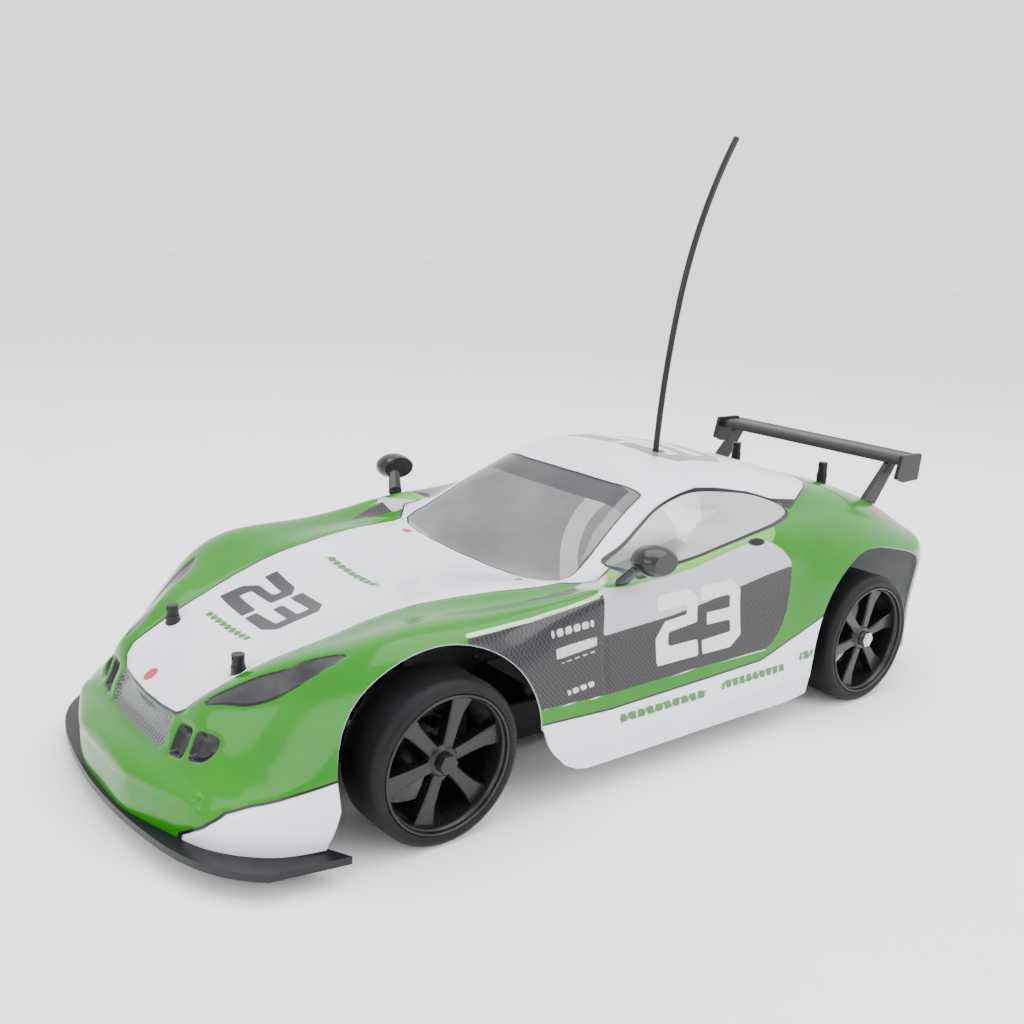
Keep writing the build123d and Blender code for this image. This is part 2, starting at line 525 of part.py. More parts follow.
with BuildPart() as rear_upright:
    y = REAR_AXLE_Y
    rod_x(y, AXLE_Z, 11, 69, 77)
    block(69, 73, y - 6.5, y + 6.5, 14, 52)
    rod_y(PIVOT_OUTER_X, LOWER_PIVOT_Z, 3.8, y - 4, y + 4)
    block(PIVOT_OUTER_X, 73, y - 4, y + 4, 13.6, 20.4)
    rod_y(PIVOT_OUTER_X, LOWER_PIVOT_Z, PIN_RADIUS, y - 8.5, y + 8.5)
    for y0, y1 in ((y - 6.5, y - 3.3), (y + 3.3, y + 6.5)):
        block(PIVOT_OUTER_X, 73, y0, y1, 45.7, 52.3)
        rod_y(PIVOT_OUTER_X, UPPER_PIVOT_Z, 3.3, y0, y1)
    rod_y(PIVOT_OUTER_X, UPPER_PIVOT_Z, PIN_RADIUS, y - 6.5, y + 6.5)
    rod_x(y, AXLE_Z, 2.5 + RUNNING, 60, 80, mode=Mode.SUBTRACT)
save_pair(rear_upright, "rear_upright")


# ---------------------------------------------------------------- dampers
def damper_plane(place):
    """Local Z runs from the top eye down to the foot eye; local Y stays the car's Y."""
    top_x, top_z = place["top"]
    foot_x, foot_z = place["foot"]
    down = Vector(foot_x - top_x, 0, foot_z - top_z)
    return Plane(origin=(top_x, place["y"], top_z), x_dir=down.cross(Vector(0, 1, 0)) * -1, z_dir=down), down.length


def ring_on(plane, distance, height, radius, mode=Mode.ADD):
    """A disc on the damper's axis."""
    with BuildSketch(plane.offset(distance)) as section:
        Circle(radius)
    extrude(section.sketch, amount=height, mode=mode)


def damper(place, end):
    plane, length = damper_plane(place)
    top_x, top_z = place["top"]
    foot_x, foot_z = place["foot"]
    y = place["y"]
    body_end = 0.56 * length
    with BuildPart() as body:
        rod_y(top_x, top_z, 3.5, y - 3, y + 3)
        ring_on(plane, 1.9, 5, 2.7)
        ring_on(plane, 5.5, body_end - 5.5, 4.2)
        ring_on(plane, 6.5, 2.5, 6.3)
        ring_on(plane, 9.5, body_end - 11.5, 3, mode=Mode.SUBTRACT)
        ring_on(plane, body_end - 3, 5, 1.2 + RUNNING, mode=Mode.SUBTRACT)
        rod_y(top_x, top_z, PIN_RADIUS + RUNNING, y - 5, y + 5, mode=Mode.SUBTRACT)
    save_pair(body, end + "_damper_body")

    perch = length - 9.5
    with BuildPart() as rod:
        rod_y(foot_x, foot_z, 3.4, y - 3, y + 3)
        ring_on(plane, 0.36 * length, 2, 2.9)
        ring_on(plane, 0.36 * length, 0.64 * length - 2.5, 1.2)
        ring_on(plane, perch, 2, 6.1)
        rod_y(foot_x, foot_z, PIN_RADIUS + 0.35, y - 5, y + 5, mode=Mode.SUBTRACT)
    save_pair(rod, end + "_damper_rod")

    wire = 0.7
    start = 9 + wire + 0.05
    height = perch - wire - 0.05 - start
    with BuildPart() as spring:
        with BuildLine():
            foot = plane.origin + plane.z_dir * start
            coil = Helix(pitch=height / 6, height=height, radius=5.2, center=foot, direction=plane.z_dir)
        with BuildSketch(Plane(origin=coil @ 0, z_dir=coil % 0)):
            Circle(wire)
        sweep(path=coil, is_frenet=True)
    save_pair(spring, end + "_damper_spring")


damper(DAMPER_FRONT, "front")
damper(DAMPER_REAR, "rear")

# ================================================================ steering
with BuildPart() as steering_servo:
    block(-10, 10, SERVO_Y - 10, SERVO_Y + 30, DECK_Z, 40)
    fillet(steering_servo.edges().filter_by(Axis.Z), radius=1.5)
    block(-9, 9, SERVO_Y + 30, SERVO_Y + 33, 28, 31)
    rod_z(0, SERVO_Y, 6, 40, 41.5)
    rod_z(0, SERVO_Y, 2.9, 41.5, 43)
save(steering_servo, "steering_servo")

with BuildPart() as servo_horn:
    with BuildSketch(Plane.XY.offset(43.3)):
        with Locations((0, SERVO_Y)):
            Circle(5)
        with Locations((0, SERVO_Y - HORN_REACH)):
            Circle(3)
        with BuildLine():
            Polyline([(-4.6, SERVO_Y), (-2.8, SERVO_Y - HORN_REACH), (2.8, SERVO_Y - HORN_REACH), (4.6, SERVO_Y)],
                     close=True)
        make_face()
    extrude(amount=2.5)
    rod_z(0, SERVO_Y - HORN_REACH, 1.4, 36, 43.3)
    rod_z(0, SERVO_Y, 2.2, 45.8, 47)
save(servo_horn, "servo_horn")

with BuildPart() as steering_rack:
    rod_x(RACK_Y, RACK_Z, 3, -23, 23)
    block(-5, 5, RACK_Y, SERVO_Y - 12, 35, 41)
    with BuildSketch(Plane.XY.offset(34)):
        with Locations((0, SERVO_Y - HORN_REACH + 0.7)):
            SlotOverall(8.4, 3.6, rotation=90)
    extrude(amount=8, mode=Mode.SUBTRACT)
    for side in (-1, 1):
        ear = sorted((side * 22, side * 29.6))
        block(*ear, RACK_Y - 4.3, RACK_Y + 4.3, 35, 41)
        gap_x = sorted((side * 23.4, side * 31))
        block(*gap_x, RACK_Y - 2.3, RACK_Y + 2.3, 34, 42, mode=Mode.SUBTRACT)
        rod_y(side * RACK_END_X, RACK_Z, 1.2, RACK_Y - 4.3, RACK_Y + 4.3)
save(steering_rack, "steering_rack")

with BuildPart() as tie_rod:
    rod_y(RACK_END_X, RACK_Z, 2.9, RACK_Y - 2, RACK_Y + 2)
    rod_x(RACK_Y, RACK_Z, 1.7, RACK_END_X + 2, KINGPIN_X - 2)
    rod_z(KINGPIN_X, RACK_Y, 4.2, RACK_Z - 1.9, RACK_Z + 1.9)
    rod_y(RACK_END_X, RACK_Z, 1.2 + RUNNING, RACK_Y - 4, RACK_Y + 4, mode=Mode.SUBTRACT)
    rod_z(KINGPIN_X, RACK_Y, 2.6, 30, 46, mode=Mode.SUBTRACT)
save_pair(tie_rod, "tie_rod")


# ================================================================ drive
def gear_outline(teeth, phase):
    """Straight-flanked teeth: each has a root pair and a tip pair of points."""
    pitch_radius = GEAR_MODULE * teeth / 2
    root, tip = pitch_radius - 1.2 * GEAR_MODULE, pitch_radius + 0.85 * GEAR_MODULE
    step = 2 * math.pi / teeth
    points = []
    for tooth in range(teeth):
        middle = math.radians(phase) + tooth * step
        for share, radius in ((-0.29, root), (-0.11, tip), (0.11, tip), (0.29, root)):
            angle = middle + share * step
            points.append((radius * math.cos(angle), radius * math.sin(angle)))
    return points


def gear(y, z, teeth, phase):
    with BuildSketch(Plane.YZ.offset(GEAR_X)) as section:
        with BuildLine():
            Polyline([(y + a, z + b) for a, b in gear_outline(teeth, phase)], close=True)
        make_face()
    extrude(section.sketch, amount=GEAR_WIDTH)


CUP_RADIUS, CUP_BORE, CUP_SLOT = 6.5, 4.6, 3.2


def drive_cup(side, closed_x, open_x, bore_x):
    """A slotted cup on the rear axle line; open_x is its mouth."""
    ends = sorted((side * closed_x, side * open_x))
    rod_x(REAR_AXLE_Y, AXLE_Z, CUP_RADIUS, *ends)
    mouth = open_x + math.copysign(1, open_x - closed_x)
    ends = sorted((side * bore_x, side * mouth))
    rod_x(REAR_AXLE_Y, AXLE_Z, CUP_BORE, *ends, mode=Mode.SUBTRACT)
    block(*ends, REAR_AXLE_Y - CUP_SLOT / 2, REAR_AXLE_Y + CUP_SLOT / 2, AXLE_Z - 8, AXLE_Z + 8, mode=Mode.SUBTRACT)


with BuildPart() as spool_gear:
    rod_x(REAR_AXLE_Y, AXLE_Z, 3, -22, 22)
    rod_x(REAR_AXLE_Y, AXLE_Z, 8, 6, 16.2)
    gear(REAR_AXLE_Y, AXLE_Z, SPOOL_TEETH, PINION_ANGLE + 180 / SPOOL_TEETH)
    with BuildSketch(Plane.YZ.offset(GEAR_X)):
        with Locations((REAR_AXLE_Y, AXLE_Z)):
            with PolarLocations(13.6, 6):
                Circle(3.6)
    extrude(amount=GEAR_WIDTH, mode=Mode.SUBTRACT)
    for side in (-1, 1):
        drive_cup(side, 22, 35, 23.5)
save(spool_gear, "spool_gear")

with BuildPart() as drive_shaft:
    rod_x(REAR_AXLE_Y, AXLE_Z, 2, 30, 61)
    for x in (30, 61):
        with Locations((x, REAR_AXLE_Y, AXLE_Z)):
            Sphere(3.2)
        rod_z(x, REAR_AXLE_Y, 0.9, AXLE_Z - 5.6, AXLE_Z + 5.6)
save_pair(drive_shaft, "drive_shaft")

with BuildPart() as rear_axle:
    rod_x(REAR_AXLE_Y, AXLE_Z, 2.5, 67, 94.4)
    drive_cup(1, 68, 56.5, 66.6)
    with BuildSketch(Plane.YZ.offset(79)):
        with Locations((REAR_AXLE_Y, AXLE_Z)):
            RegularPolygon(6.9, 6)
    extrude(amount=5)
    with BuildSketch(Plane.YZ.offset(91.4)):
        with Locations((REAR_AXLE_Y, AXLE_Z)):
            RegularPolygon(4, 6)
    extrude(amount=2.6)
save_pair(rear_axle, "rear_axle")

with BuildPart() as drive_motor:
    rod_x(MOTOR_Y, MOTOR_Z, MOTOR_RADIUS, -46, MOTOR_PLATE_X[0])
    rod_x(MOTOR_Y, MOTOR_Z, MOTOR_RADIUS - 2, -42, 0, mode=Mode.SUBTRACT)
    rod_x(MOTOR_Y, MOTOR_Z, 11, -40, -4)
    rod_x(MOTOR_Y, MOTOR_Z, 4, -42, 0)
    rod_x(MOTOR_Y, MOTOR_Z, 6.4, MOTOR_PLATE_X[0], 4)
    rod_x(MOTOR_Y, MOTOR_Z, 6.4, -49, -46)
    rod_x(MOTOR_Y, MOTOR_Z, 1.6 + RUNNING, -20, 8, mode=Mode.SUBTRACT)
save(drive_motor, "drive_motor")

with BuildPart() as motor_pinion:
    rod_x(MOTOR_Y, MOTOR_Z, 1.6, -18, 16)
    gear(MOTOR_Y, MOTOR_Z, PINION_TEETH, PINION_ANGLE + 180)
    rod_x(MOTOR_Y, MOTOR_Z, 4.2, 6, GEAR_X)
save(motor_pinion, "motor_pinion")

# ================================================================ wheels
SPOKES = 6
SPOKE_FACE_X = 91.0


def rim(axle_y, driven):
    """A dished rim on the left side: barrel, six flat spokes and a hub."""
    with BuildPart() as wheel_rim:
        with BuildSketch(Plane.XY) as profile:
            with BuildLine():
                Polyline([(WHEEL_INNER_X + 0.5, 25), (WHEEL_INNER_X + 0.5, 27.8), (94.6, 27.8), (94.6, 26.4),
                          (88, 24.6), (84, 24.6), (WHEEL_INNER_X + 4, 25.6)], close=True)
            make_face()
        revolve(axis=Axis.X)
        rod_x(0, 0, 7, 79, SPOKE_FACE_X)
        for number in range(SPOKES):
            turn = Plane.YZ.offset(86).rotated((60 * number + 12, 0, 0))
            with BuildSketch(turn):
                with BuildLine():
                    Polyline([(4, -2.4), (24.9, -4), (24.9, 4), (4, 2.4)], close=True)
                make_face()
            extrude(amount=4)
        rod_x(0, 0, 2.5 if driven else 2.5 + RUNNING, 70, 96, mode=Mode.SUBTRACT)
        rod_x(0, 0, 4.9, SPOKE_FACE_X, 96, mode=Mode.SUBTRACT)
        if driven:
            with BuildSketch(Plane.YZ.offset(78)):
                RegularPolygon(6.9, 6)
            extrude(amount=6, mode=Mode.SUBTRACT)
    with BuildPart() as placed:
        add(wheel_rim.part.moved(Location((0, axle_y, AXLE_Z))))
    return placed


def tyre(axle_y):
    """A smooth drift tyre with rounded shoulders."""
    with BuildPart() as wheel_tyre:
        with BuildSketch(Plane.XY):
            with BuildLine():
                Polyline([(WHEEL_INNER_X, RIM_RADIUS), (WHEEL_INNER_X, TYRE_RADIUS), (TRACK_OUTER, TYRE_RADIUS),
                          (TRACK_OUTER, RIM_RADIUS)], close=True)
            make_face()
            fillet(vertices().group_by(Axis.Y)[-1], radius=2.6)
        revolve(axis=Axis.X)
    with BuildPart() as placed:
        add(wheel_tyre.part.moved(Location((0, axle_y, AXLE_Z))))
    return placed


for end, axle_y, driven in (("front", FRONT_AXLE_Y, False), ("rear", REAR_AXLE_Y, True)):
    save_pair(rim(axle_y, driven), end + "_rim")
    save_pair(tyre(axle_y), end + "_tyre")
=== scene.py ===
import json
import math

import bpy
import numpy as np
from mathutils import Matrix, Vector


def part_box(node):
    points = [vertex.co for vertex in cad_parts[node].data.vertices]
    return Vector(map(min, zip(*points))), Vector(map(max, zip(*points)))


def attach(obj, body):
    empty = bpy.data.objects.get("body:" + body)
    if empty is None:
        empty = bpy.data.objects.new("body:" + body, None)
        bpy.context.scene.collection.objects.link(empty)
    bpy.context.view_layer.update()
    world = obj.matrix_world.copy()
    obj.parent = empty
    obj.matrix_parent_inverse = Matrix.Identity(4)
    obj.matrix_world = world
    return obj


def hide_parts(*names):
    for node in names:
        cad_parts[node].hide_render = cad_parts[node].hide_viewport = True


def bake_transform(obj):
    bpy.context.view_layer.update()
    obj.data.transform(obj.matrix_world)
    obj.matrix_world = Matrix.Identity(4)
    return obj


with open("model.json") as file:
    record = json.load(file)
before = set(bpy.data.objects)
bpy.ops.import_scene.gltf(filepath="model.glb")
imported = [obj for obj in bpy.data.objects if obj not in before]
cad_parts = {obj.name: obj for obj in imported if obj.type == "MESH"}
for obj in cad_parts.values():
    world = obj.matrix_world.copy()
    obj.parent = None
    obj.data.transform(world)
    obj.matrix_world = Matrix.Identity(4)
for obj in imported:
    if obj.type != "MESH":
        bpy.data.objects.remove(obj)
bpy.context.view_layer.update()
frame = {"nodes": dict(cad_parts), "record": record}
NODES = frame["nodes"]
SLOT_OF = {part["node"]: part["material_slot"] for part in frame["record"]["subparts"]}
BODY_OF = {n: b for b, ns in frame["record"]["behaviour"]["bodies"].items() for n in ns}
MM = 0.001

# ---------------------------------------------------------------- camera
AZIMUTH, ELEVATION, ROLL = (math.radians(a) for a in (51.447, 14.152, 3.085))
CAMERA_PLACE = (0.3987, -0.33488, 0.22493)
back = Vector((math.sin(AZIMUTH) * math.cos(ELEVATION), -math.cos(AZIMUTH) * math.cos(ELEVATION),
               math.sin(ELEVATION)))
level = Vector((math.cos(AZIMUTH), math.sin(AZIMUTH), 0))
upward = back.cross(level)
right = level * math.cos(ROLL) + upward * math.sin(ROLL)
top = upward * math.cos(ROLL) - level * math.sin(ROLL)
camera = bpy.data.objects.new("camera", bpy.data.cameras.new("camera"))
camera.data.lens, camera.data.sensor_width = 39.27, 36
camera.data.clip_start, camera.data.clip_end = 0.01, 30
turned = Matrix((right, top, back)).transposed().to_4x4()
camera.matrix_world = Matrix.Translation(CAMERA_PLACE) @ turned
bpy.context.scene.collection.objects.link(camera)
bpy.context.scene.camera = camera


# ---------------------------------------------------------------- materials
def material(name):
    made = bpy.data.materials.new(name)
    made.use_nodes = True
    nodes = made.node_tree.nodes
    return made, nodes, made.node_tree.links, nodes["Principled BSDF"]


def coordinates(nodes, links, scale):
    place = nodes.new("ShaderNodeTexCoord")
    mapping = nodes.new("ShaderNodeMapping")
    mapping.inputs["Scale"].default_value = (scale,) * 3 if isinstance(scale, (int, float)) else scale
    links.new(place.outputs["Object"], mapping.inputs["Vector"])
    return mapping.outputs["Vector"]


def noise(nodes, links, scale, detail=4.0, stretch=(1, 1, 1)):
    texture = nodes.new("ShaderNodeTexNoise")
    texture.inputs["Scale"].default_value = scale
    texture.inputs["Detail"].default_value = detail
    links.new(coordinates(nodes, links, stretch), texture.inputs["Vector"])
    return texture.outputs["Fac"]


def remap(nodes, links, value, low, high, from_low=0.3, from_high=0.7):
    ranged = nodes.new("ShaderNodeMapRange")
    ranged.inputs["From Min"].default_value, ranged.inputs["From Max"].default_value = from_low, from_high
    ranged.inputs["To Min"].default_value, ranged.inputs["To Max"].default_value = low, high
    links.new(value, ranged.inputs["Value"])
    return ranged.outputs["Result"]


def mixed(nodes, links, factor, first, second):
    mix = nodes.new("ShaderNodeMix")
    mix.data_type = "RGBA"
    links.new(factor, mix.inputs["Factor"])
    for socket, colour in ((mix.inputs["A"], first), (mix.inputs["B"], second)):
        if isinstance(colour, tuple):
            socket.default_value = (*colour, 1)
        else:
            links.new(colour, socket)
    return mix.outputs["Result"]


def bump(nodes, links, shader, height, strength, distance):
    node = nodes.new("ShaderNodeBump")
    node.inputs["Strength"].default_value, node.inputs["Distance"].default_value = strength, distance
    links.new(height, node.inputs["Height"])
    links.new(node.outputs["Normal"], shader.inputs["Normal"])


def moulded(name, dark, light, roughness, grain=900, depth=0.00004, metallic=0.0, stretch=(1, 1, 1),
            coat=0.0):
    """A moulded, painted or machined finish: two close tones, uneven gloss and a fine grain."""
    made, nodes, links, shader = material(name)
    broad = noise(nodes, links, 55, 5)
    fine = noise(nodes, links, grain, 3, stretch)
    links.new(mixed(nodes, links, remap(nodes, links, broad, 0, 1), dark, light),
              shader.inputs["Base Color"])
    links.new(remap(nodes, links, fine, roughness * 0.85, roughness * 1.2), shader.inputs["Roughness"])
    shader.inputs["Metallic"].default_value = metallic
    shader.inputs["Coat Weight"].default_value = coat
    if not metallic:
        shader.inputs["Specular IOR Level"].default_value = 0.3
    bump(nodes, links, shader, fine, 0.35, depth)
    return made


FINISH = {
    "trim_black": moulded("trim black plastic", (0.007, 0.007, 0.009), (0.011, 0.011, 0.014), 0.36, 900,
                          0.00002),
    "mirror_black": moulded("mirror black", (0.004, 0.004, 0.005), (0.007, 0.007, 0.009), 0.22, 900,
                            0.00001, coat=0.3),
    "chassis_black": moulded("chassis black nylon", (0.007, 0.007, 0.009), (0.012, 0.012, 0.015), 0.5,
                             1200),
    "suspension_black": moulded("suspension nylon", (0.009, 0.009, 0.011), (0.017, 0.017, 0.02), 0.42,
                                1500),
    "steel": moulded("turned steel", (0.42, 0.42, 0.44), (0.6, 0.6, 0.62), 0.28, 1800, metallic=1.0,
                     stretch=(1, 8, 8)),
    "aerial_black": moulded("aerial tube black", (0.006, 0.006, 0.007), (0.01, 0.01, 0.012), 0.3, 600),
    "battery_wrap": moulded("battery shrink wrap", (0.008, 0.01, 0.014), (0.014, 0.018, 0.026), 0.3, 260,
                            0.00012),
    "electronics": moulded("electronics case", (0.02, 0.02, 0.025), (0.035, 0.035, 0.04), 0.45, 1400),
    "motor_can": moulded("motor can", (0.3, 0.3, 0.32), (0.44, 0.44, 0.46), 0.3, 1500, metallic=0.9),
    "link_plastic": moulded("link plastic", (0.01, 0.01, 0.012), (0.017, 0.017, 0.02), 0.4, 1300),
    "gear_plastic": moulded("spur gear acetal", (0.55, 0.55, 0.52), (0.7, 0.7, 0.66), 0.4, 1000),
    "brass_gear": moulded("brass pinion", (0.55, 0.36, 0.12), (0.75, 0.52, 0.2), 0.28, 1300, metallic=1.0),
    "rim_black": moulded("rim black gloss", (0.005, 0.005, 0.006), (0.008, 0.008, 0.01), 0.3, 1400,
                         0.000008, coat=0.15),
    "damper_body": moulded("damper body black", (0.016, 0.016, 0.019), (0.03, 0.03, 0.034), 0.34, 1100),
    "damper_rod": moulded("polished rod", (0.5, 0.5, 0.52), (0.68, 0.68, 0.7), 0.18, 2000, metallic=1.0),
    "spring_steel": moulded("black spring steel", (0.04, 0.04, 0.045), (0.08, 0.08, 0.09), 0.3, 1600,
                            metallic=0.7),
}


def rubber():
    made, nodes, links, shader = material("tyre rubber")
    broad, fine = noise(nodes, links, 90, 6), noise(nodes, links, 1600, 2)
    links.new(mixed(nodes, links, remap(nodes, links, broad, 0, 1), (0.005, 0.005, 0.006),
                    (0.009, 0.009, 0.011)),
              shader.inputs["Base Color"])
    links.new(remap(nodes, links, broad, 0.42, 0.58), shader.inputs["Roughness"])
    shader.inputs["Specular IOR Level"].default_value = 0.15
    bump(nodes, links, shader, fine, 0.3, 0.00005)
    return made


def foam_rubber():
    made, nodes, links, shader = material("bumper foam")
    cells = nodes.new("ShaderNodeTexVoronoi")
    cells.inputs["Scale"].default_value = 900
    links.new(coordinates(nodes, links, 1), cells.inputs["Vector"])
    links.new(mixed(nodes, links, cells.outputs["Distance"], (0.012, 0.012, 0.013), (0.035, 0.035, 0.038)),
              shader.inputs["Base Color"])
    shader.inputs["Roughness"].default_value = 0.95
    bump(nodes, links, shader, cells.outputs["Distance"], 0.8, 0.0003)
    return made


FINISH["tyre_rubber"], FINISH["foam"] = rubber(), foam_rubber()
for node_name, node in NODES.items():
    slot_name = SLOT_OF[node_name]
    if slot_name in FINISH:
        node.data.materials.clear()
        node.data.materials.append(FINISH[slot_name])


def piece(name, points, faces, body, finish, slot_name=None, smooth=True):
    """A mesh piece from points in mm that rides on a body."""
    mesh = bpy.data.meshes.new(name)
    mesh.from_pydata([tuple(p * MM for p in point) for point in points], [],
                     [tuple(map(int, f)) for f in faces])
    mesh.materials.append(finish)
    if smooth:
        mesh.shade_smooth()
    made = bpy.data.objects.new(name, mesh)
    bpy.context.scene.collection.objects.link(made)
    if body:
        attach(made, body)
    return made


def bevelled(made, width, segments=2, angle=30):
    edge = made.modifiers.new("bevel", "BEVEL")
    edge.width, edge.segments = width * MM, segments
    edge.limit_method, edge.angle_limit = "ANGLE", math.radians(angle)
    edge.harden_normals = True
    return made


# ---------------------------------------------------------------- body surface
# Half sections of the body in mm: y of the section, then (x, z) from the middle of the top to the lower edge.
STATIONS = [
    (-210.5, [(0, 31), (10, 30.5), (18, 29.5), (24, 27.5), (27, 24), (28, 20), (28, 15.5), (27, 11)]),
    (-205.0, [(0, 32), (16, 31.6), (30, 30.5), (39, 28.5), (44, 25), (46, 20.5), (46, 15.5), (45, 11)]),
    (-198.0, [(0, 32.5), (18, 32.5), (34, 32), (48, 30.5), (58, 27.5), (63, 23), (65, 17), (64, 11)]),
    (-194.5, [(0, 43.5), (15, 43), (28, 41), (42, 36), (56, 31.5), (66, 26), (70, 18), (69.5, 11)]),
    (-188.0, [(0, 48.5), (16, 48.8), (30, 50.5), (41, 51.5), (53, 41), (69, 30), (77, 20), (77, 11)]),
    (-178.0, [(0, 54), (17, 54.4), (31.5, 56), (46, 58), (60, 46), (78, 33), (85, 21), (84.5, 11)]),
    (-166.0, [(0, 58.5), (18, 59), (34, 61.3), (49, 65.4), (65, 57.5), (83, 41), (90, 24), (89, 11.5)]),
    (-154.0, [(0, 62.5), (20, 63.2), (36.5, 65.6), (54, 70), (71, 66.5), (87, 52), (93.5, 29), (91.5, 12)]),
    (-138.0, [(0, 67), (20, 67.8), (39, 70.5), (58, 74.5), (76, 77), (90, 67), (95, 34), (93, 12)]),
    (-120.0, [(0, 71), (22, 72.2), (42, 76), (62, 79.5), (80, 81.6), (91, 73), (95, 36), (93, 12)]),
    (-104.0, [(0, 73.5), (23, 75.2), (45, 79.3), (65, 81), (81, 82), (91.3, 73), (95, 36), (93, 12)]),
    (-86.0, [(0, 75), (25, 77.5), (51, 81.2), (68, 81), (82.5, 81.6), (91.3, 71), (95, 35), (93, 12)]),
    (-66.0, [(0, 76), (28, 79), (56, 82), (71, 81.3), (84.5, 82.8), (91, 69), (95, 34), (93, 12)]),
    (-46.0, [(0, 75.8), (29, 77.6), (59, 81.6), (73, 82), (87, 85), (90.5, 68), (95, 33), (92.5, 12)]),
    (-38.0, [(0, 76), (28, 77.4), (61, 82), (74, 83.2), (87.5, 86.4), (90.3, 69), (95, 32.5), (92.5, 12)]),
    (-22.0, [(0, 89), (28, 89.3), (58.5, 89.8), (73, 86.8), (87.5, 87.6), (90, 70), (95, 32), (92.5, 12)]),
    (-8.0, [(0, 100), (27, 99.8), (54.8, 99), (72, 91), (87, 88.4), (90, 70), (95, 31.8), (92.5, 12)]),
    (6.0, [(0, 109.8), (26, 109.2), (51.4, 106.5), (70, 95), (86.5, 89), (89.7, 70), (95, 31.7),
           (92.5, 12)]),
    (18.0, [(0, 117), (26, 116.2), (50.5, 112), (68, 99), (86.5, 89.5), (89.7, 70), (95, 31.7),
            (92.5, 12.3)]),
    (36.0, [(0, 124.2), (27, 122.8), (51.5, 116.8), (67, 103), (86, 90.8), (89.7, 71), (95, 32),
            (92.5, 12.3)]),
    (56.0, [(0, 125), (28, 123.4), (53, 117), (68, 104), (86, 92.8), (90, 72), (95, 33), (92.5, 12.3)]),
    (78.0, [(0, 122.6), (28, 121), (54, 114.5), (69, 103.5), (85.5, 94.6), (90.5, 74), (95, 36),
            (92.5, 12)]),
    (98.0, [(0, 119), (28, 117.6), (56, 111.6), (70, 103), (84.5, 94), (91.5, 76), (95.5, 42), (93, 14)]),
    (120.0, [(0, 113.6), (30, 112.6), (58, 108), (71, 101), (83.5, 91.6), (92, 76), (95, 48), (93, 20)]),
    (143.0, [(0, 107.4), (30, 107), (59, 103.8), (71, 97.6), (82.5, 88.6), (91, 75.5), (94, 50), (92, 20)]),
    (163.0, [(0, 102), (30, 101.8), (58, 98.8), (69.5, 93.5), (80.5, 85), (88.5, 75), (91, 50), (89, 18)]),
    (180.0, [(0, 97.6), (30, 97.2), (56, 94), (67.5, 89), (78.5, 81.5), (85, 73.5), (87, 48), (85.5, 15)]),
    (193.0, [(0, 93), (30, 92.6), (55, 89), (66.5, 84), (76.5, 78), (82, 72.5), (82.5, 46), (81.5, 13)]),
    (204.0, [(0, 88.6), (30, 88.2), (54, 84), (65.5, 79.5), (75, 75.5), (79, 71.5), (78, 45), (77, 12)]),
    (212.0, [(0, 84), (29, 83.6), (51, 80), (62, 76.5), (70.5, 73), (73.5, 68), (73, 44), (72, 13)]),
]
ROW_STEP = 1.45
HALF_COLUMNS = 128
CAP_ROWS = 14


def pchip(x, y, t):
    """Smooth curve through the values y at x that never overshoots, read at t."""
    h = np.diff(x)[:, None]
    d = np.diff(y, axis=0) / h
    slope = np.zeros_like(y)
    w1, w2 = 2 * h[1:] + h[:-1], h[1:] + 2 * h[:-1]
    rising = d[:-1] * d[1:] > 1e-12
    safe0, safe1 = np.where(rising, d[:-1], 1.0), np.where(rising, d[1:], 1.0)
    slope[1:-1] = np.where(rising, (w1 + w2) / (w1 / safe0 + w2 / safe1), 0)
    slope[0], slope[-1] = d[0], d[-1]
    i = np.clip(np.searchsorted(x, t, side="right") - 1, 0, len(x) - 2)
    span = (x[i + 1] - x[i])[:, None]
    s = (t - x[i])[:, None] / span
    return ((2 * s**3 - 3 * s**2 + 1) * y[i] + (s**3 - 2 * s**2 + s) * span * slope[i]
            + (3 * s**2 - 2 * s**3) * y[i + 1] + (s**3 - s**2) * span * slope[i + 1])


def section_curve(points, count):
    """A smooth half section through its points, mirrored in the middle, as count+1 points at equal steps."""
    whole = np.vstack([points[:0:-1] * (-1, 1), points])
    step = np.linalg.norm(np.diff(whole, axis=0), axis=1) ** 0.75
    t = np.concatenate([[0], np.cumsum(step)])
    n = len(t)
    a = np.zeros((n, n))
    b = np.zeros((n, 2))
    a[0, 0] = a[-1, -1] = 1
    for i in range(1, n - 1):
        a[i, i - 1], a[i, i], a[i, i + 1] = step[i - 1], 2 * (step[i - 1] + step[i]), step[i]
        b[i] = 6 * ((whole[i + 1] - whole[i]) / step[i] - (whole[i] - whole[i - 1]) / step[i - 1])
    bend = np.linalg.solve(a, b)
    middle = n // 2
    fine = np.concatenate([np.linspace(t[i], t[i + 1], 30, endpoint=False) for i in range(middle, n - 1)]
                          + [[t[-1]]])
    i = np.clip(np.searchsorted(t, fine, side="right") - 1, 0, n - 2)
    h = step[i][:, None]
    left, right = (fine - t[i])[:, None], (t[i + 1] - fine)[:, None]
    curve = (bend[i] * right**3 + bend[i + 1] * left**3) / (6 * h) \
        + (whole[i] / h - bend[i] * h / 6) * right + (whole[i + 1] / h - bend[i + 1] * h / 6) * left
    length = np.concatenate([[0], np.cumsum(np.linalg.norm(np.diff(curve, axis=0), axis=1))])
    at = np.linspace(0, length[-1], count + 1)
    return np.column_stack([np.interp(at, length, curve[:, 0]), np.interp(at, length, curve[:, 1])])


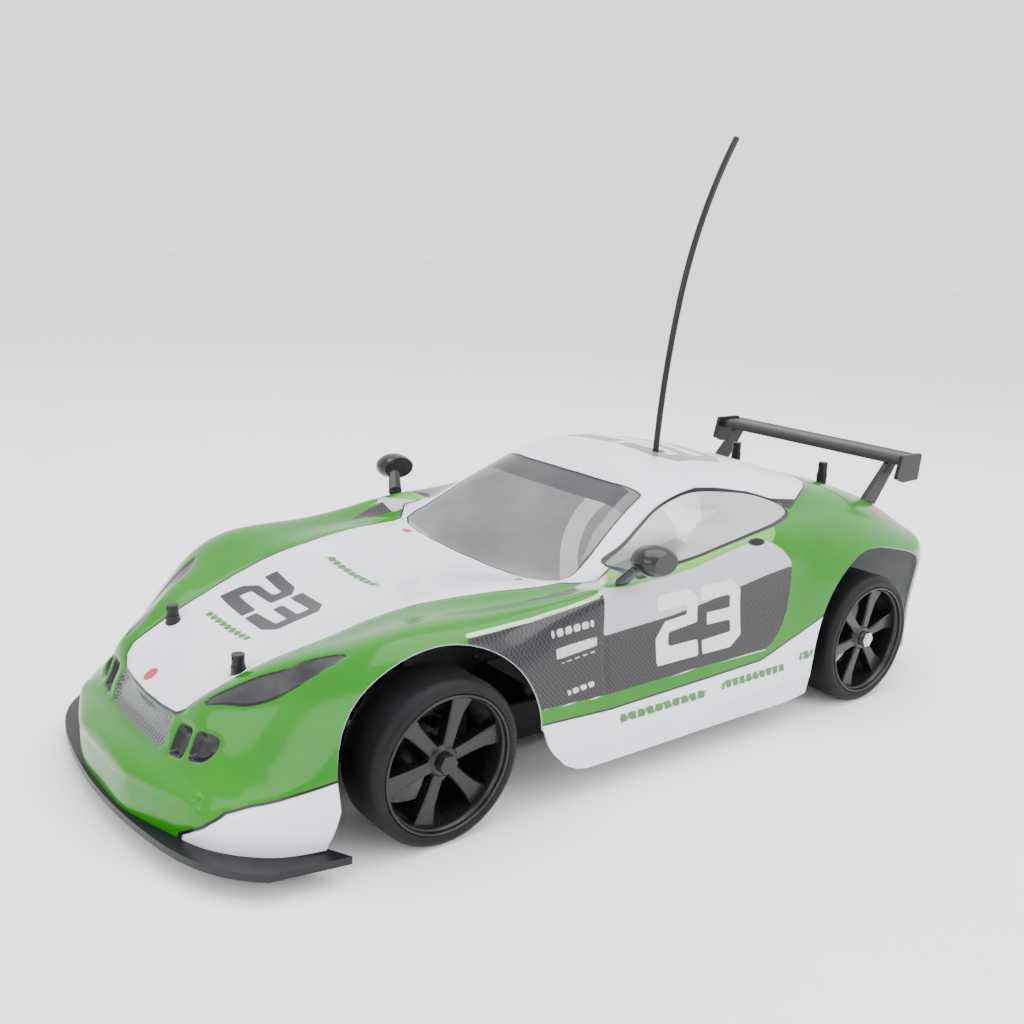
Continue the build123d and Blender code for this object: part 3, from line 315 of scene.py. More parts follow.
def body_grid():
    """The outer surface as a grid of points, rows along the car and columns across it."""
    y_at = np.array([s[0] for s in STATIONS])
    values = np.array([s[1] for s in STATIONS], float).reshape(len(STATIONS), -1)
    fine_y = np.arange(y_at[0], y_at[-1] + 0.01, 0.25)
    fine = pchip(y_at, values, fine_y)
    smooth = fine.copy()
    for k, y in enumerate(fine_y):
        width = np.clip((y + 190) / 5, 0.5, 6.0)
        reach = int(width * 12)
        lo, hi = max(0, k - reach), min(len(fine_y), k + reach + 1)
        reach = min(k - lo, hi - 1 - k)
        if reach > 0:
            part = slice(k - reach, k + reach + 1)
            weight = np.exp(-0.5 * ((fine_y[part] - y) / width) ** 2)
            smooth[k] = (fine[part] * weight[:, None]).sum(0) / weight.sum()
    travel = np.abs(np.gradient(smooth[:, :12], fine_y, axis=0)).max(1)
    along = np.concatenate([[0], np.cumsum(np.maximum(1, 0.8 * travel[1:]) * np.diff(fine_y))])
    rows = int(along[-1] / ROW_STEP)
    ys = np.interp(np.linspace(0, along[-1], rows + 1), along, fine_y)
    at_rows = np.column_stack([np.interp(ys, fine_y, column) for column in smooth.T])
    sections = [section_curve(row.reshape(-1, 2), HALF_COLUMNS) for row in at_rows]
    grid = [np.column_stack([s[:, 0], np.full(len(s), y), s[:, 1]]) for s, y in zip(sections, ys)]
    for end, bulge in ((0, -1.6), (-1, 1.4)):
        edge = grid[end]
        low = np.array([0, edge[0, 1], edge[-1, 2]])
        for k in range(1, CAP_ROWS + 1):
            share = 1 - k / CAP_ROWS
            row = low + (edge - low) * max(share, 0.004)
            row[:, 1] = edge[0, 1] + bulge * (1 - share**4)
            if end == 0:
                grid.insert(0, row)
            else:
                grid.append(row)
    half = np.array(grid)
    mirrored = half[:, :0:-1] * (-1, 1, 1)
    return np.concatenate([mirrored, half], axis=1)


# ---------------------------------------------------------------- paint layout, in mm
def distance_inside(outline, u, v):
    """Distance to a closed outline, positive inside it."""
    pts = np.array(outline, float)
    nearest = np.full(u.shape, 1e9)
    inside = np.zeros(u.shape, bool)
    for (ax, ay), (bx, by) in zip(pts, np.roll(pts, -1, axis=0)):
        dx, dy = bx - ax, by - ay
        t = np.clip(((u - ax) * dx + (v - ay) * dy) / (dx * dx + dy * dy + 1e-12), 0, 1)
        nearest = np.minimum(nearest, np.hypot(u - ax - t * dx, v - ay - t * dy))
        crosses = (ay > v) != (by > v)
        inside ^= crosses & (u < (bx - ax) * (v - ay) / (by - ay + 1e-12) + ax)
    return np.where(inside, nearest, -nearest)


def distance_line(points, u, v):
    """Distance to an open line."""
    pts = np.array(points, float)
    nearest = np.full(u.shape, 1e9)
    for (ax, ay), (bx, by) in zip(pts[:-1], pts[1:]):
        dx, dy = bx - ax, by - ay
        t = np.clip(((u - ax) * dx + (v - ay) * dy) / (dx * dx + dy * dy + 1e-12), 0, 1)
        nearest = np.minimum(nearest, np.hypot(u - ax - t * dx, v - ay - t * dy))
    return nearest


def rounded(points, closed=True, steps=6):
    """The points joined by a smooth curve."""
    p = np.array(points, float)
    p = np.vstack([p[-1], p, p[0], p[1]]) if closed else np.vstack([2 * p[0] - p[1], p, 2 * p[-1] - p[-2]])
    made = []
    for a, b, c, d in zip(p[:-3], p[1:-2], p[2:-1], p[3:]):
        for k in range(steps):
            t = k / steps
            made.append(0.5 * (2 * b + (c - a) * t + (2 * a - 5 * b + 4 * c - d) * t**2
                               + (3 * b - a - 3 * c + d) * t**3))
    if not closed:
        made.append(p[-2])
    return np.array(made)


DIGIT_2 = [(0, 30), (19, 30), (25, 25.5), (25, 14.5), (7.5, 13), (7, 7), (25, 7), (25, 0), (0, 0),
           (0, 11.5), (5.5, 18), (18.5, 18.8), (18.5, 23), (0.6, 23)]
DIGIT_3 = [(0, 30), (19.5, 30), (25.5, 25), (25.5, 4.5), (18.5, 0), (1, 0), (1, 6), (19, 6.8),
           (19, 12.2), (4.5, 12.2), (4.5, 17.5), (19, 17.5), (19, 23.5), (0.6, 23)]


def number(u, v, left, low, height):
    """The race number, two digits read towards +u."""
    scale = height / 30
    two = distance_inside(np.array(DIGIT_2) * scale + (left, low), u, v)
    three = distance_inside(np.array(DIGIT_3) * scale + (left + 26.6 * scale, low), u, v)
    return np.maximum(two, three)


HOOD_EDGE = [(26, -192), (31, -190), (33.4, -186), (34.2, -181), (36, -169.5), (39.6, -153),
             (43.5, -138), (46, -121), (48.5, -101), (55, -73), (58.5, -52), (60.5, -40)]
PILLAR_EDGE = [(74, -29.5), (65.2, -5.5), (61.2, 7.2), (58.2, 19.3), (56.8, 33.7), (56.4, 45),
               (58.4, 60), (60.8, 77.5), (66, 92)]
ROOF_END = [(67.5, 106), (66, 109), (60, 121), (53, 129.6), (44, 133.4), (28, 135), (0, 135.5)]
WHITE_TOP = [(0, -193.6), (15, -193)] + HOOD_EDGE + PILLAR_EDGE + ROOF_END
SIDE_WINDOW = rounded([(-17.5, 89.6), (-4.8, 95), (7.2, 100.8), (19.3, 106.7), (31, 110.6),
                       (43.1, 112.4), (58.4, 111.6), (77.5, 108.9), (90, 105), (93, 102.6), (90, 100.9),
                       (78.1, 99.3), (60, 97.4), (39.9, 94.8), (20.8, 92.4), (0.5, 90.6), (-14, 89)])
WINDSCREEN = [(0, -38.2), (24, -39), (42, -41.2), (52, -40.6), (58.5, -37), (60.6, -31.5), (58.6, -22),
              (54.6, -6.5), (51.3, 6.3), (49.4, 16.8), (46, 16.6), (32, 14.6), (0, 13.4)]
REAR_WINDOW = [(0, 139.5), (30, 139), (41, 137), (46.5, 140), (44, 152), (38, 166), (33, 168.4), (0, 169)]
HEADLIGHT = rounded([(40, -186.4), (46.5, -181.6), (53.5, -175.4), (61, -166), (66, -155), (69, -145),
                     (63, -148.4), (57.6, -154.4), (54.6, -161.5), (50.4, -167), (44, -176), (40.4, -182)])
GRILLE_HALF = [(-5, 32.6), (25, 32.8), (27, 37), (26.6, 43), (24.6, 45.2), (12, 44.2), (-5, 43.6)]
INTAKE_INNER = [(31.6, 34), (32.6, 33.2), (39.6, 34), (40.4, 35), (40.6, 43.6), (39.6, 44.8),
                (32.6, 44.4), (31.6, 43.4)]
INTAKE_OUTER = rounded([(43.4, 35.6), (47.4, 35.4), (51.8, 37), (53.6, 40), (52, 44), (48, 45.6),
                        (43.6, 45), (42.8, 40)])
DARK_SIDE = [(-112, 60), (-104, 79), (-90, 79.2), (-74.6, 79.9), (-57, 82), (-40.8, 84.8), (-38.6, 86),
             (-38.2, 67.9), (1.4, 69.7), (24, 72.2), (43.8, 75.7), (62, 78.6), (77.1, 80.4),
             (79.4, 79.9), (78.6, 70), (76.3, 60.7), (72.4, 53), (66.6, 46.8), (61.1, 44), (15.4, 44),
             (-37.3, 43.4), (-72.6, 45.4), (-82, 47)]
SILVER_DOOR = [(-38.6, 86.9), (-24.7, 86.5), (-1.3, 86.9), (17.5, 88.4), (34, 90.9), (51.9, 93.5),
               (60, 94.2), (66.5, 92.6), (73, 88.6), (78, 83.6), (79.4, 79.9), (77.1, 80.4), (62, 78.6),
               (43.8, 75.7), (24, 72.2), (1.4, 69.7), (-38.2, 67.9)]
# Painted highlight: a lighter green strip along the shoulder under the side window, where the overhead light
# catches the curve of the paint.
SHOULDER_HIGHLIGHT = [(-33, 86.8), (-22.8, 88.2), (0, 89.5), (19.5, 91.6), (39.9, 94), (58.6, 96.6), (76, 99),
                 (70, 94.5), (66.5, 92.6), (60, 94.2), (51.9, 93.5), (34, 90.9), (17.5, 88.4),
                 (-1.3, 86.9), (-24.7, 86.5)]
SKIRT_EDGE = [(-76, 39), (-35.2, 37), (19.1, 38.2), (58, 39.4), (68.1, 42.2), (84, 47.4), (100.8, 53.3),
              (110, 56.4)]
BUMPER_EDGE = [(-202, 13), (-200.1, 16.4), (-196.5, 21), (-191.9, 25.2), (-185, 28.2), (-177.2, 30.8),
               (-166.1, 34.7), (-154.3, 38.8), (-150, 40)]
CUT_CORNER = [(-78, 36), (-70.6, 36), (-68.4, 30), (-65, 24.6), (-57.2, 17.2), (-50, 13.4), (-44, 12),
              (-43, -20), (-78, -20)]
REAR_ARCH_CUT = [(97.2, -20), (97.2, 34)] + [(143 - 46 * math.cos(a), 34 + 46 * math.sin(a))
                                             for a in np.linspace(0.06, math.pi / 2, 16)] + \
                [(154, 79.2), (165, 76.8), (178, 73.8), (190, 70), (198, 66.5), (203, 62), (203, -20)]
FRONT_ARCH_CUT = [(-71.6, -20), (-71.6, 34)] + [(-115.5 + 44 * math.cos(a), 34 + 44 * math.sin(a))
                                               for a in np.linspace(0.06, math.pi - 0.06, 28)] + \
                 [(-159.4, 34), (-159, 26), (-161, 18), (-163, 13), (-163, -20)]
TAIL_LAMP = rounded([(61, 179), (66, 174), (71, 174.5), (71.5, 181), (67, 188), (62, 188)])
DOOR_LINE = [(-38.6, 86), (-38.2, 67.9), (-37.3, 43.4), (-36.6, 37)]
SILL_LINE = [(-72, 45), (-37, 43.2), (15.4, 43.8), (61, 43.8)]
CORNER_WINDOW = [(89.5, 106.2), (106.5, 104), (95.5, 101.6)]
DOOR_HANDLE = (57.6, 93.6)
# Rows of short bars where race cars carry lettering: (y from, y to, z from, z to) on the doors and sills.
DOOR_BARS = ((-66, -44, 72.5, 75.5), (-64, -42, 64, 68), (-62, -43, 61.6, 62.4), (-59, -44, 48, 50.2))
SILL_BARS = ((-30, 22, 29.5, 33.4, 5.2), (32, 76, 30.6, 34.6, 4.6), (86, 96, 33.5, 38, 5))  # and the pitch
HOOD_BARS = ((-26, 10, -155.6, 1.5), (-31, 9, -95.5, 1.9))  # x from, x to, middle y, half width
POSTS = ((32, -169.5, 3.2), (31, 175.3, 3.2))
AERIAL = (20, 55.8, 3.9)


def paint_fields(p):
    """Signed distances, in mm and positive inside, to every painted area at the points p."""
    x, y, z = p.T
    ax, left = np.abs(x), x > 0
    away = np.float64(-30)
    side = lambda outline, low_x=70: np.where(ax > low_x, distance_inside(outline, y, z), away)
    plan = lambda outline, low_z=40: np.where(z > low_z, distance_inside(outline, ax, y), away)
    nose = lambda outline: np.where(y < -184, distance_inside(outline, ax, z), away)
    f = {}
    f["window"] = side(SIDE_WINDOW, 48)
    f["screen"] = np.where((z > 70) & (y < 30),
                           distance_inside([(-1, -38.2)] + WINDSCREEN[1:-1] + [(-1, 13.4)], ax, y), away)
    rear_outline = [(-1, 139.5)] + REAR_WINDOW[1:-1] + [(-1, 169)]
    f["rear_glass"] = np.where(z > 80, distance_inside(rear_outline, ax, y), away)
    f["glass"] = np.maximum.reduce([f["window"], f["screen"], f["rear_glass"]])
    white_top = plan([(-1, -193.6)] + WHITE_TOP[1:-1] + [(-1, 135.5)], 41)
    skirt = np.where(ax > 60, distance_inside(SKIRT_EDGE + [(110, -5), (-76, -5)], y, z), away)
    corner = np.where((ax > 40) & (y < -140),
                      distance_inside(BUMPER_EDGE + [(-150, -5), (-206, -5), (-202, 8)], y, z), away)
    f["white"] = np.maximum.reduce([white_top, skirt, corner])
    f["grey_tail"] = np.where(y > 196, np.minimum(y - 201.5, 69 - z), away)
    f["diffuser"] = np.where(y > 190, np.minimum.reduce([y - 203.5, 37 - z, 62 - ax]), away)
    # The dark and silver areas are the door's own paint; the band area is a painted highlight along the
    # shoulder.
    f["dark"], f["silver"], f["band"] = side(DARK_SIDE), side(SILVER_DOOR), side(SHOULDER_HIGHLIGHT)
    door = number(np.where(left, y, 35.2 - y), z, -8.4, 49.4, 30.5)
    f["door_number"] = np.where(ax > 84, door, away)
    f["hood_number"] = np.where((z > 50) & (y < -80), number(x, y, -33, -148.5, 27), away)
    f["roof_number"] = np.where(z > 108, number(x, y, -39, 46, 44), away)
    f["grille"] = nose(GRILLE_HALF)
    f["intakes"] = np.maximum(nose(INTAKE_INNER), nose(INTAKE_OUTER))
    f["headlight"] = np.where(z > 44, distance_inside(HEADLIGHT, ax, y), away)
    f["tail_lamp"] = np.where(z > 78, distance_inside(TAIL_LAMP, ax, y), away)
    far = np.float64(30)
    in_side = lambda line, mask: np.where(mask, distance_line(line, y, z), far)
    handle = 1 - np.hypot((y - DOOR_HANDLE[0]) / 5.2, (z - DOOR_HANDLE[1] + (y - 57) * 0.02) / 1.5)
    f["stripe"] = np.maximum.reduce([0.22 - in_side(DOOR_LINE, ax > 80), 0.4 - np.abs(f["headlight"]),
                                     np.where(ax > 58, distance_inside(CORNER_WINDOW, y, z), away),
                                     np.where(ax > 78, handle, away) * 1.4])
    # Painted highlights: thin pale green lines along the top edge of the dark door panel and along the sill
    # crease, where light catches the edges.
    f["pale"] = np.maximum(0.6 - in_side(DARK_SIDE[1:7], ax > 80), 0.25 - in_side(SILL_LINE, ax > 80))
    bars = []
    for low_y, high_y, low_z, high_z in DOOR_BARS:
        tilt = z - (y + 55) * 0.05
        box = np.minimum(np.minimum(y - low_y, high_y - y), np.minimum(tilt - low_z, high_z - tilt))
        gaps = np.abs(((y - low_y) % 4.4) - 2.2) - 0.5
        bars.append(np.where(ax > 84, np.minimum(box, gaps), away))
    f["pale_bars"] = np.maximum.reduce(bars)
    blocks = []
    for low_y, high_y, low_z, high_z, pitch in SILL_BARS:
        box = np.minimum(np.minimum(y - low_y, high_y - y), np.minimum(z - low_z, high_z - z))
        slant = ((y + 0.35 * z - low_y) % pitch)
        block = np.minimum(box, np.minimum(slant - 0.5, pitch - 0.5 - slant))
        blocks.append(np.where(ax > 84, block, away))
    for low_x, high_x, mid_y, half in HOOD_BARS:
        box = np.minimum(np.minimum(x - low_x, high_x - x), half - np.abs(y - mid_y - 0.05 * x))
        slant = (x - low_x + 0.4 * y) % 4.2
        block = np.minimum(box, np.minimum(slant - 0.45, 3.75 - slant))
        blocks.append(np.where((z > 50) & (y < -40), block, away))
    f["green_bars"] = np.maximum.reduce(blocks)
    nose_dot = np.where((z > 40) & (y < -170), 3.1 - np.hypot((x + 7.4), (y + 188.4) * 1.1), away)
    hood_dots = np.where((z > 60) & (y > -70), 2.4 - np.hypot(ax - 44, y + 47), away)
    f["emblem"] = np.maximum(nose_dot, hood_dots)
    return f


def keep_field(p):
    """Positive on the body's skin, negative in its wheel arches and holes."""
    x, y, z = p.T
    ax = np.abs(x)
    cuts = [np.maximum(-distance_inside(FRONT_ARCH_CUT, y, z), 76 - ax),
            np.maximum(-distance_inside(REAR_ARCH_CUT, y, z), 76 - ax),
            np.maximum(-distance_inside(CUT_CORNER, y, z), 76 - ax)]
    cuts += [np.hypot(ax - px, y - py) - r for px, py, r in POSTS]
    cuts.append(np.where(z > 90, np.hypot(x - AERIAL[0], y - AERIAL[1]) - AERIAL[2], 9))
    return np.minimum.reduce(cuts)


def step_up(value, width):
    t = np.clip(value / width + 0.5, 0, 1)
    return t * t * (3 - 2 * t)


def relief(p, f):
    """How far the skin stands proud of the smooth surface, in mm."""
    x, y, z = p.T
    ax = np.abs(x)
    ridge = np.exp(-((z - 24.5) / 2.6) ** 2) * step_up(y + 63, 8) * step_up(96 - y, 8) * (ax > 70)
    groove = lambda d, width: np.exp(-(d / width) ** 2)
    height = 0.8 * ridge
    height -= 1.8 * step_up(f["grille"] - 0.6, 3.4) + 2.6 * step_up(f["intakes"] - 0.8,
                                                                    3.8) + 0.7 * step_up(f["headlight"],
                                                                                         2.6)
    height -= 0.5 * step_up(f["glass"] + 1.0, 2.6)
    height -= 0.3 * groove(distance_line(DOOR_LINE, y, z), 0.9) * (ax > 80)
    height -= 0.45 * groove(np.where(z > 41, distance_line(HOOD_EDGE, ax, y), 30), 1.3)
    corner = np.where((ax > 45) & (y < -150), distance_line(BUMPER_EDGE, y, z), 30)
    height -= 0.5 * groove(corner, 1.1)
    height += 0.9 * np.exp(-((z - 27) / 2.2) ** 2) * (y < -196) * (ax < 60)
    return height


# ---------------------------------------------------------------- body shell pieces
def clip(table, faces, value):
    """Keeps the part of the mesh where value is positive. Cut edges get new points between the old ones."""
    inside = value > 0
    made, rows, new = [], [], {}
    for face in faces:
        states = [inside[i] for i in face]
        if all(states):
            made.append(list(face))
            continue
        if not any(states):
            continue
        outline = []
        for a, b in zip(face, list(face[1:]) + [face[0]]):
            if inside[a]:
                outline.append(a)
            if inside[a] != inside[b]:
                key = (a, b) if a < b else (b, a)
                if key not in new:
                    t = value[key[0]] / (value[key[0]] - value[key[1]])
                    t = min(max(t, 0.02), 0.98)
                    rows.append(table[key[0]] * (1 - t) + table[key[1]] * t)
                    new[key] = len(table) + len(rows) - 1
                outline.append(new[key])
        if len(outline) >= 3:
            made.append(outline)
    return np.vstack([table] + ([np.array(rows)] if rows else [])), made


def compact(table, faces):
    """Leaves out the points that no face uses."""
    used = np.unique(np.concatenate([np.array(f) for f in faces]))
    renumber = np.zeros(len(table), int)
    renumber[used] = np.arange(len(used))
    return table[used], [[int(renumber[i]) for i in f] for f in faces]


FIRST_FIELD = 6  # the columns before it are the point and its normal


def skin_piece(name, table, faces, finish, attributes):
    """A piece whose painted fields come along as point attributes."""
    table, faces = compact(table, faces)
    made = piece(name, table[:, :3], faces, None, finish, "body_paint")
    mesh = made.data
    for k, attribute_name in enumerate(attributes):
        attribute = mesh.attributes.new(attribute_name, "FLOAT", "POINT")
        attribute.data.foreach_set("value", table[:, FIRST_FIELD + k].astype(np.float32))
    normals = table[:, 3:6] / np.linalg.norm(table[:, 3:6], axis=1)[:, None]
    mesh.normals_split_custom_set_from_vertices([tuple(n) for n in normals])
    return made, table, faces


def grid_normals(grid):
    """Unit normals of a grid of points, turned upwards in the middle of the car."""
    down = np.gradient(grid, axis=0)
    over = np.gradient(grid, axis=1)
    normal = np.cross(down, over)
    normal /= np.linalg.norm(normal, axis=2)[:, :, None] + 1e-12
    middle = normal[len(grid) // 2, grid.shape[1] // 2]
    return normal if middle[2] > 0 else -normal


grid = body_grid()
points = grid.reshape(-1, 3)
fields = paint_fields(points)
raised = grid + grid_normals(grid) * relief(points, fields).reshape(grid.shape[:2] + (1,))
normals = grid_normals(raised).reshape(-1, 3)
FIELD_NAMES = sorted(fields)
table = np.column_stack([raised.reshape(-1, 3), normals] + [fields[n] for n in FIELD_NAMES]
                        + [keep_field(points)])
rows, columns = grid.shape[:2]
index = np.arange(rows * columns).reshape(rows, columns)
quads = np.stack([index[:-1, :-1], index[:-1, 1:], index[1:, 1:], index[1:, :-1]], -1).reshape(-1, 4)
face_normal = np.cross(points[quads[:, 1]] - points[quads[:, 0]], points[quads[:, 3]] - points[quads[:, 0]])
if (face_normal * normals[quads[:, 0]]).sum() < 0:
    quads = quads[:, ::-1]
kept_table, kept = clip(table, quads.tolist(), table[:, -1])
glass_column = FIRST_FIELD + FIELD_NAMES.index("glass")
skin_table, skin = clip(kept_table, kept, -kept_table[:, glass_column] + 0.001)
glass_table, glass = clip(kept_table, kept, kept_table[:, glass_column])


BLACK = (0.005, 0.005, 0.007)
SHARP = 3.0  # how fast a painted edge turns, per mm


def paint_finish():
    """Printed and painted polycarbonate: every area has a crisp edge, and the gloss varies a little. The
    lighter green shoulder band and the thin pale green lines are painted highlights.
    """
    made, nodes, links, shader = material("race paint")

    def area(field):
        attribute = nodes.new("ShaderNodeAttribute")
        attribute.attribute_name = field
        scaled = nodes.new("ShaderNodeMath")
        scaled.operation, scaled.use_clamp = "MULTIPLY_ADD", True
        scaled.inputs[1].default_value, scaled.inputs[2].default_value = SHARP, 0.5
        links.new(attribute.outputs["Fac"], scaled.inputs[0])
        return scaled.outputs["Value"]

    def outline(field, half):
        """A thin line along the edge of a painted area."""
        attribute = nodes.new("ShaderNodeAttribute")
        size, line = nodes.new("ShaderNodeMath"), nodes.new("ShaderNodeMath")
        attribute.attribute_name = field
        size.operation = "ABSOLUTE"
        line.operation, line.use_clamp = "MULTIPLY_ADD", True
        line.inputs[1].default_value, line.inputs[2].default_value = -SHARP, SHARP * half + 0.5
        links.new(attribute.outputs["Fac"], size.inputs[0])
        links.new(size.outputs["Value"], line.inputs[0])
        return line.outputs["Value"]

    broad = noise(nodes, links, 28, 4)
    speckle = noise(nodes, links, 2400, 2)
    weave = nodes.new("ShaderNodeTexChecker")
    weave.inputs["Scale"].default_value = 950
    links.new(coordinates(nodes, links, 1), weave.inputs["Vector"])
    colour = mixed(nodes, links, remap(nodes, links, broad, 0, 1), (0.009, 0.15, 0.0008),
                   (0.014, 0.18, 0.0015))
    white = mixed(nodes, links, remap(nodes, links, broad, 0, 1), (0.68, 0.68, 0.78), (0.75, 0.75, 0.85))
    carbon = mixed(nodes, links, weave.outputs["Fac"], (0.009, 0.009, 0.011), (0.028, 0.028, 0.032))
    mesh_dots = mixed(nodes, links, weave.outputs["Fac"], (0.03, 0.03, 0.035), (0.13, 0.13, 0.145))
    lamp = mixed(nodes, links, remap(nodes, links, broad, 0, 1, 0.4, 0.6), (0.006, 0.006, 0.007),
                 (0.04, 0.04, 0.045))
    # The lighter green shoulder band and the thin pale green lines below are painted highlights.
    layers = [("white", white), ("band", (0.12, 0.36, 0.06)), ("dark", carbon),
              ("silver", (0.42, 0.42, 0.47)), ("pale", (0.5, 0.72, 0.42)),
              ("grey_tail", (0.36, 0.36, 0.38)), ("diffuser", carbon), ("pale_bars", (0.5, 0.5, 0.53)),
              ("door_number", (0.62, 0.62, 0.65)), ("hood_number", (0.03, 0.03, 0.035)),
              ("roof_number", (0.17, 0.22, 0.17)), ("green_bars", (0.05, 0.17, 0.04)),
              ("emblem", (0.4, 0.04, 0.07)), ("grille", mesh_dots), ("intakes", (0.008, 0.008, 0.01)),
              ("headlight", lamp), ("tail_lamp", (0.42, 0.015, 0.02)), ("stripe", BLACK)]
    for field, tone in layers:
        colour = mixed(nodes, links, area(field), colour, tone)
    for field, half in (("white", 0.42), ("glass", 0.95)):
        colour = mixed(nodes, links, outline(field, half), colour, BLACK)
    links.new(colour, shader.inputs["Base Color"])
    links.new(remap(nodes, links, broad, 0.16, 0.26), shader.inputs["Roughness"])
    shader.inputs["Specular IOR Level"].default_value = 0.22
    shader.inputs["Coat Weight"].default_value = 0.25
    shader.inputs["Coat Roughness"].default_value = 0.06
    bump(nodes, links, shader, speckle, 0.05, 0.00002)
    return made


def glass_finish():
    """A thin smoky film that turns opaque in the banner along the top of the windscreen. Sideways-facing
    panes are painted a lighter grey, a painted reflection of the bright studio.
    """
    made, nodes, links, shader = material("clear window")
    attribute = nodes.new("ShaderNodeAttribute")
    attribute.attribute_name = "banner"
    band = nodes.new("ShaderNodeMath")
    band.operation, band.use_clamp = "MULTIPLY_ADD", True
    band.inputs[1].default_value, band.inputs[2].default_value = SHARP, 0.5
    links.new(attribute.outputs["Fac"], band.inputs[0])
    clouds = noise(nodes, links, 22, 3, (1, 0.6, 1.6))
    side = nodes.new("ShaderNodeAttribute")
    side.attribute_name = "side_glass"
    front_tint = mixed(nodes, links, remap(nodes, links, clouds, 0, 1), (0.07, 0.072, 0.078),
                       (0.17, 0.175, 0.185))
    # Painted reflection: panes that face sideways are tinted a light grey.
    side_painted_reflection = mixed(nodes, links, remap(nodes, links, clouds, 0, 1), (0.34, 0.345, 0.36),
                      (0.62, 0.62, 0.65))
    tint = mixed(nodes, links, side.outputs["Fac"], front_tint, side_painted_reflection)
    links.new(mixed(nodes, links, band.outputs["Value"], tint, (0.012, 0.012, 0.018)),
              shader.inputs["Base Color"])
    solid = nodes.new("ShaderNodeMapRange")
    solid.inputs["To Min"].default_value, solid.inputs["To Max"].default_value = 0.82, 1.0
    links.new(band.outputs["Value"], solid.inputs["Value"])
    links.new(solid.outputs["Result"], shader.inputs["Alpha"])
    links.new(remap(nodes, links, clouds, 0.05, 0.12), shader.inputs["Roughness"])
    shader.inputs["Coat Weight"].default_value = 0.6
    return made


outer, outer_table, outer_faces = skin_piece("shell_skin", skin_table, skin, paint_finish(), FIELD_NAMES)
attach(outer, "shell")
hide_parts("body_shell")
glass_x, glass_y, glass_z, glass_nx, glass_ny = (glass_table[:, k] for k in range(5))
on_screen = (glass_z > 90) & (glass_y < 30) & (np.abs(glass_x) < 52)
banner_column = np.where(on_screen, glass_y - 3.2 - 0.02 * np.abs(glass_x), -30)
# How far each pane faces sideways; these panes get a painted reflection in the window finish.
side_column = np.clip(np.abs(glass_nx) / (np.abs(glass_ny) + 0.05) - 1.2, 0, 1)
window_table = np.column_stack([glass_table[:, :6], banner_column, side_column])
windows = skin_piece("shell_windows", window_table, glass, glass_finish(), ["banner", "side_glass"])[0]
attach(windows, "shell")

LINING_DEPTH = 1.0


def lining(name, source, faces):
    """The unpainted inside of the shell, with its cut edges turned to meet the skin."""
    count = len(source)
    inner = source[:, :3] - source[:, 3:6] / np.linalg.norm(source[:, 3:6], axis=1)[:, None] * LINING_DEPTH
    edges = {(a, b) for face in faces for a, b in zip(face, face[1:] + face[:1])}
    strips = [[b, a, a + count, b + count] for a, b in edges if (b, a) not in edges]
    whole, turned = compact(np.vstack([inner, source[:, :3]]), [face[::-1] for face in faces] + strips)
    finish = moulded("unpainted inside", (0.36, 0.37, 0.38), (0.46, 0.47, 0.48), 0.4, 700, 0.00003)
    return piece(name, whole, turned, "shell", finish, "body_paint")


inside = lining("shell_lining", outer_table, outer_faces)


# ---------------------------------------------------------------- wheels
def lathe(profile, centre_y, centre_z, sign, segments=96):
    """A closed profile of (x, radius) turned about the wheel's axle."""
    made, faces, n = [], [], len(profile)
    for k in range(segments):
        a = 2 * math.pi * k / segments
        made += [(sign * x, centre_y + r * math.cos(a), centre_z + r * math.sin(a)) for x, r in profile]
    for k in range(segments):
        j = (k + 1) % segments
        for i in range(n):
            m = (i + 1) % n
            face = [k * n + i, k * n + m, j * n + m, j * n + i]
            faces.append(face if sign < 0 else face[::-1])
    return made, faces


TYRE_PROFILE = [(70.2, 27.8), (69.4, 29.4), (69.4, 30.6), (70.3, 32.0), (72.2, 32.85), (75, 33),
                (89.4, 33), (91.8, 32.8), (93.6, 31.9), (94.5, 30.6), (94.7, 29.6), (94.45, 28.9),
                (94.7, 28.3), (94.2, 27.7), (90, 27.7), (80, 27.7)]
RIM_PROFILE = [(69.6, 25.2), (69.6, 27.7), (94.3, 27.7), (94.8, 27.3), (94.8, 26.7), (94.2, 26.35),
               (93.2, 26.3), (92.9, 25.9), (92.4, 25.5), (90.6, 25.2), (86, 24.8), (80, 25.1), (73, 25.6)]
HUB_PROFILE = [(79, 5.2), (79, 7.4), (88.4, 7.2), (90.2, 6.2), (91, 5.2), (91, 3.3), (89.4, 3.1),
               (89.4, 2.6), (80, 2.6)]
SPOKE_OUTLINE = [(5.4, -2.5), (12, -2.7), (19, -3.3), (25.2, -4.7), (25.2, 4.7), (19, 3.3), (12, 2.7),
                 (5.4, 2.5)]


def spokes(centre_y, centre_z, sign):
    made, faces = [], []
    for number_of in range(6):
        turn = math.radians(60 * number_of + 12)
        first = len(made)
        for inset_width, depth_shift in ((0.0, -4.6), (0.0, 0.0), (0.7, 0.6)):
            for r, w in SPOKE_OUTLINE:
                face_x = 89.8 - 0.035 * (r - 5) + (0.9 if r > 24 else 0) + depth_shift
                width = w - math.copysign(inset_width, w)
                made.append((sign * face_x, centre_y + r * math.cos(turn) - width * math.sin(turn),
                             centre_z + r * math.sin(turn) + width * math.cos(turn)))
        n = len(SPOKE_OUTLINE)
        for layer in range(2):
            for i in range(n):
                j = (i + 1) % n
                face = [first + layer * n + i, first + layer * n + j, first + (layer + 1) * n + j,
                        first + (layer + 1) * n + i]
                faces.append(face if sign > 0 else face[::-1])
        cap = [first + 2 * n + i for i in range(n)]
        base = [first + i for i in range(n)]
        faces += [cap if sign > 0 else cap[::-1], base[::-1] if sign > 0 else base]
    return made, faces


def join_lists(parts):
    made, faces = [], []
    for p, f in parts:
        faces += [[i + len(made) for i in face] for face in f]
        made += list(p)
    return made, faces


